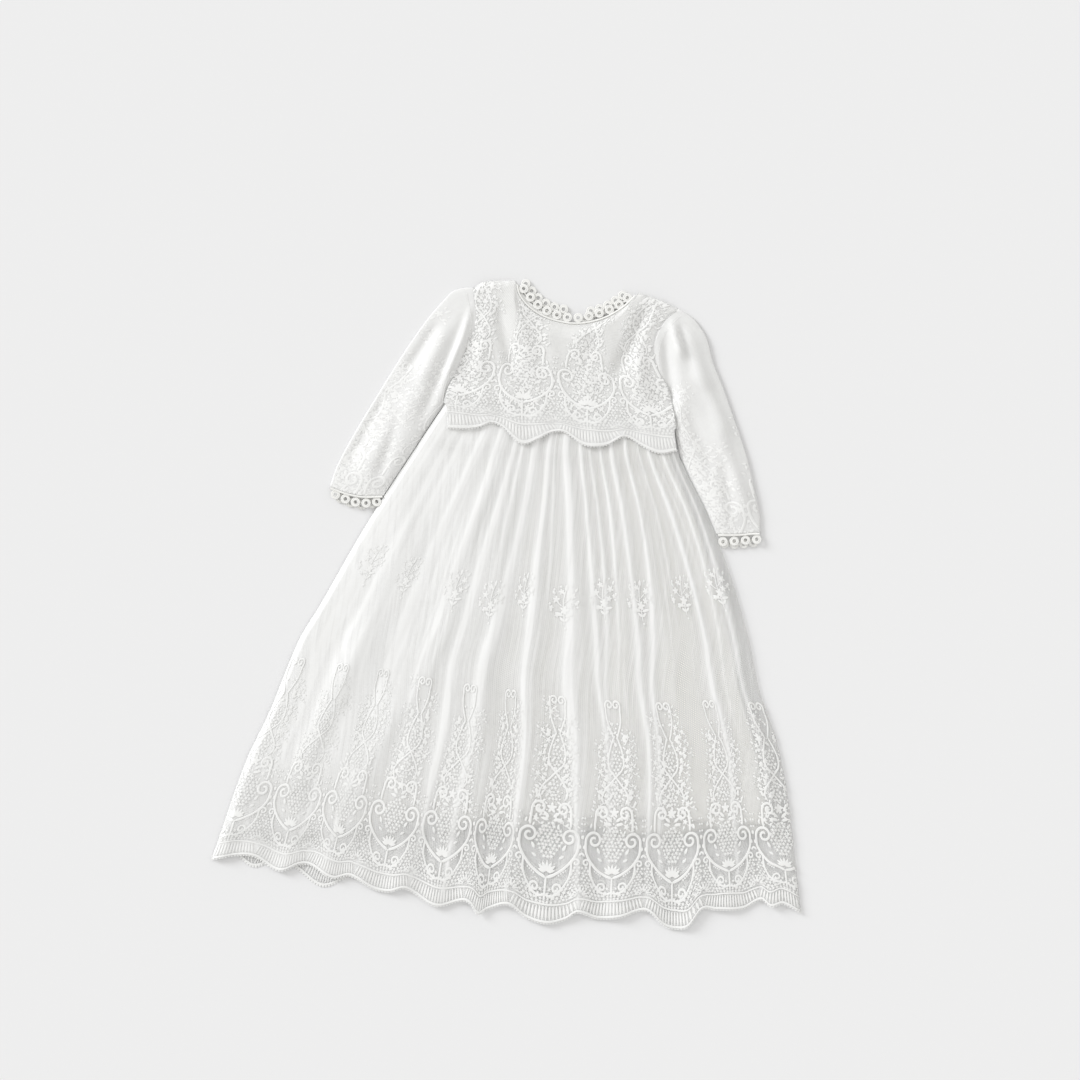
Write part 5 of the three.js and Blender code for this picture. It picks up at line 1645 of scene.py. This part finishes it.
def build_shared():
    """Makes the finishes, node trees and flat motifs that the pieces share."""
    finish = bpy.context.scene.gown_finish
    colours = (finish.net_colour, finish.net_shade)
    finishes["net"] = net_material("Tulle", colours, open_cover=0.08, thread_cover=finish.net_cover,
                                   pitch=0.0024, streak=0.6)
    finishes["net_close"] = net_material("Tulle over satin", colours, open_cover=0.42, thread_cover=0.56,
                                         pitch=0.0014, streak=0.2)
    finishes["satin"] = satin_material()
    finishes["lining"] = lining_material()
    finishes["thread"] = thread_material("Embroidery thread", finish.thread_colour, "#ECECEA", 0.5)
    finishes["lace"] = thread_material("Cotton ring lace", "#F5F5F2", "#EDECE8", 0.75)
    finishes["floor"] = floor_material(finish.paper_colour)
    trees["embroidery"] = embroidery_tree()
    trees["cord"] = cord_tree()
    trees["repeat"] = repeat_tree()
    picot = Stitching()
    picot.dot(0, 0, 1.4, 1.2)
    motifs["picot"] = picot.pattern("motif_picot", 0.001)
    drawings = {"border": [draw_border], "scrolls": [draw_scrolls, draw_filling], "column": [draw_column],
                "sprig": [draw_sprig], "spray": [draw_spray]}
    for name, steps in drawings.items():
        drawing = Stitching()
        for step in steps:
            step(drawing)
        motifs[name] = drawing.pattern("motif_" + name)


def clear_helpers():
    """Removes the flat motifs and the single ring and stitch that were only copied."""
    for obj in list(bpy.data.objects):
        if obj.name.startswith("motif_") or obj.name in ("lace_ring", "stitch"):
            bpy.data.objects.remove(obj)


class GOWN_OT_shared(bpy.types.Operator):
    """Make the finishes and the flat embroidery motifs"""

    bl_idname = "gown.shared"
    bl_label = "Finishes and motifs"

    def execute(self, context):
        build_shared()
        return {"FINISHED"}


class GOWN_OT_skirt(bpy.types.Operator):
    """Make the embroidered net skirt, front and back"""

    bl_idname = "gown.skirt"
    bl_label = "Skirt"

    def execute(self, context):
        make_skirt_front()
        make_skirt_back()
        return {"FINISHED"}


class GOWN_OT_lining(bpy.types.Operator):
    """Make the lining of the skirt"""

    bl_idname = "gown.lining"
    bl_label = "Lining"

    def execute(self, context):
        make_linings()
        return {"FINISHED"}


class GOWN_OT_bodice(bpy.types.Operator):
    """Make the satin bodice and the net overlay"""

    bl_idname = "gown.bodice"
    bl_label = "Bodice"

    def execute(self, context):
        make_bodice_front()
        make_bodice_backs()
        make_overlay_front()
        return {"FINISHED"}


class GOWN_OT_sleeves(bpy.types.Operator):
    """Make both sleeves, satin under net"""

    bl_idname = "gown.sleeves"
    bl_label = "Sleeves"

    def execute(self, context):
        make_sleeves()
        return {"FINISHED"}


class GOWN_OT_trims(bpy.types.Operator):
    """Make the ring lace and the seam stitches"""

    bl_idname = "gown.trims"
    bl_label = "Ring lace and stitches"

    def execute(self, context):
        make_trims()
        make_seams()
        clear_helpers()
        return {"FINISHED"}


class GOWN_OT_stage(bpy.types.Operator):
    """Make the floor, the light and the camera"""

    bl_idname = "gown.stage"
    bl_label = "Stage"

    def execute(self, context):
        make_stage(context.scene.gown_light)
        return {"FINISHED"}


OPERATORS = (GOWN_OT_shared, GOWN_OT_skirt, GOWN_OT_lining, GOWN_OT_bodice, GOWN_OT_sleeves, GOWN_OT_trims,
             GOWN_OT_stage)


class GOWN_PT_panel(bpy.types.Panel):
    """Lists the gown's pieces"""

    bl_idname = "GOWN_PT_panel"
    bl_label = "Christening gown"
    bl_space_type = "VIEW_3D"
    bl_region_type = "UI"
    bl_category = "Gown"

    def draw(self, context):
        for group in (context.scene.gown_finish, context.scene.gown_light):
            for name in group.bl_rna.properties.keys():
                if name not in ("rna_type", "name"):
                    self.layout.prop(group, name)
        for operator in OPERATORS:
            self.layout.operator(operator.bl_idname)


CLASSES = (GownFinish, GownLight) + OPERATORS + (GOWN_PT_panel,)


def register():
    for item in CLASSES:
        bpy.utils.register_class(item)
    bpy.types.Scene.gown_finish = bpy.props.PointerProperty(type=GownFinish)
    bpy.types.Scene.gown_light = bpy.props.PointerProperty(type=GownLight)


def unregister():
    del bpy.types.Scene.gown_light
    del bpy.types.Scene.gown_finish
    for item in reversed(CLASSES):
        bpy.utils.unregister_class(item)


def main():
    register()
    for operator in OPERATORS:
        group, name = operator.bl_idname.split(".")
        getattr(getattr(bpy.ops, group), name)()


if __name__ == "__main__":
    main()
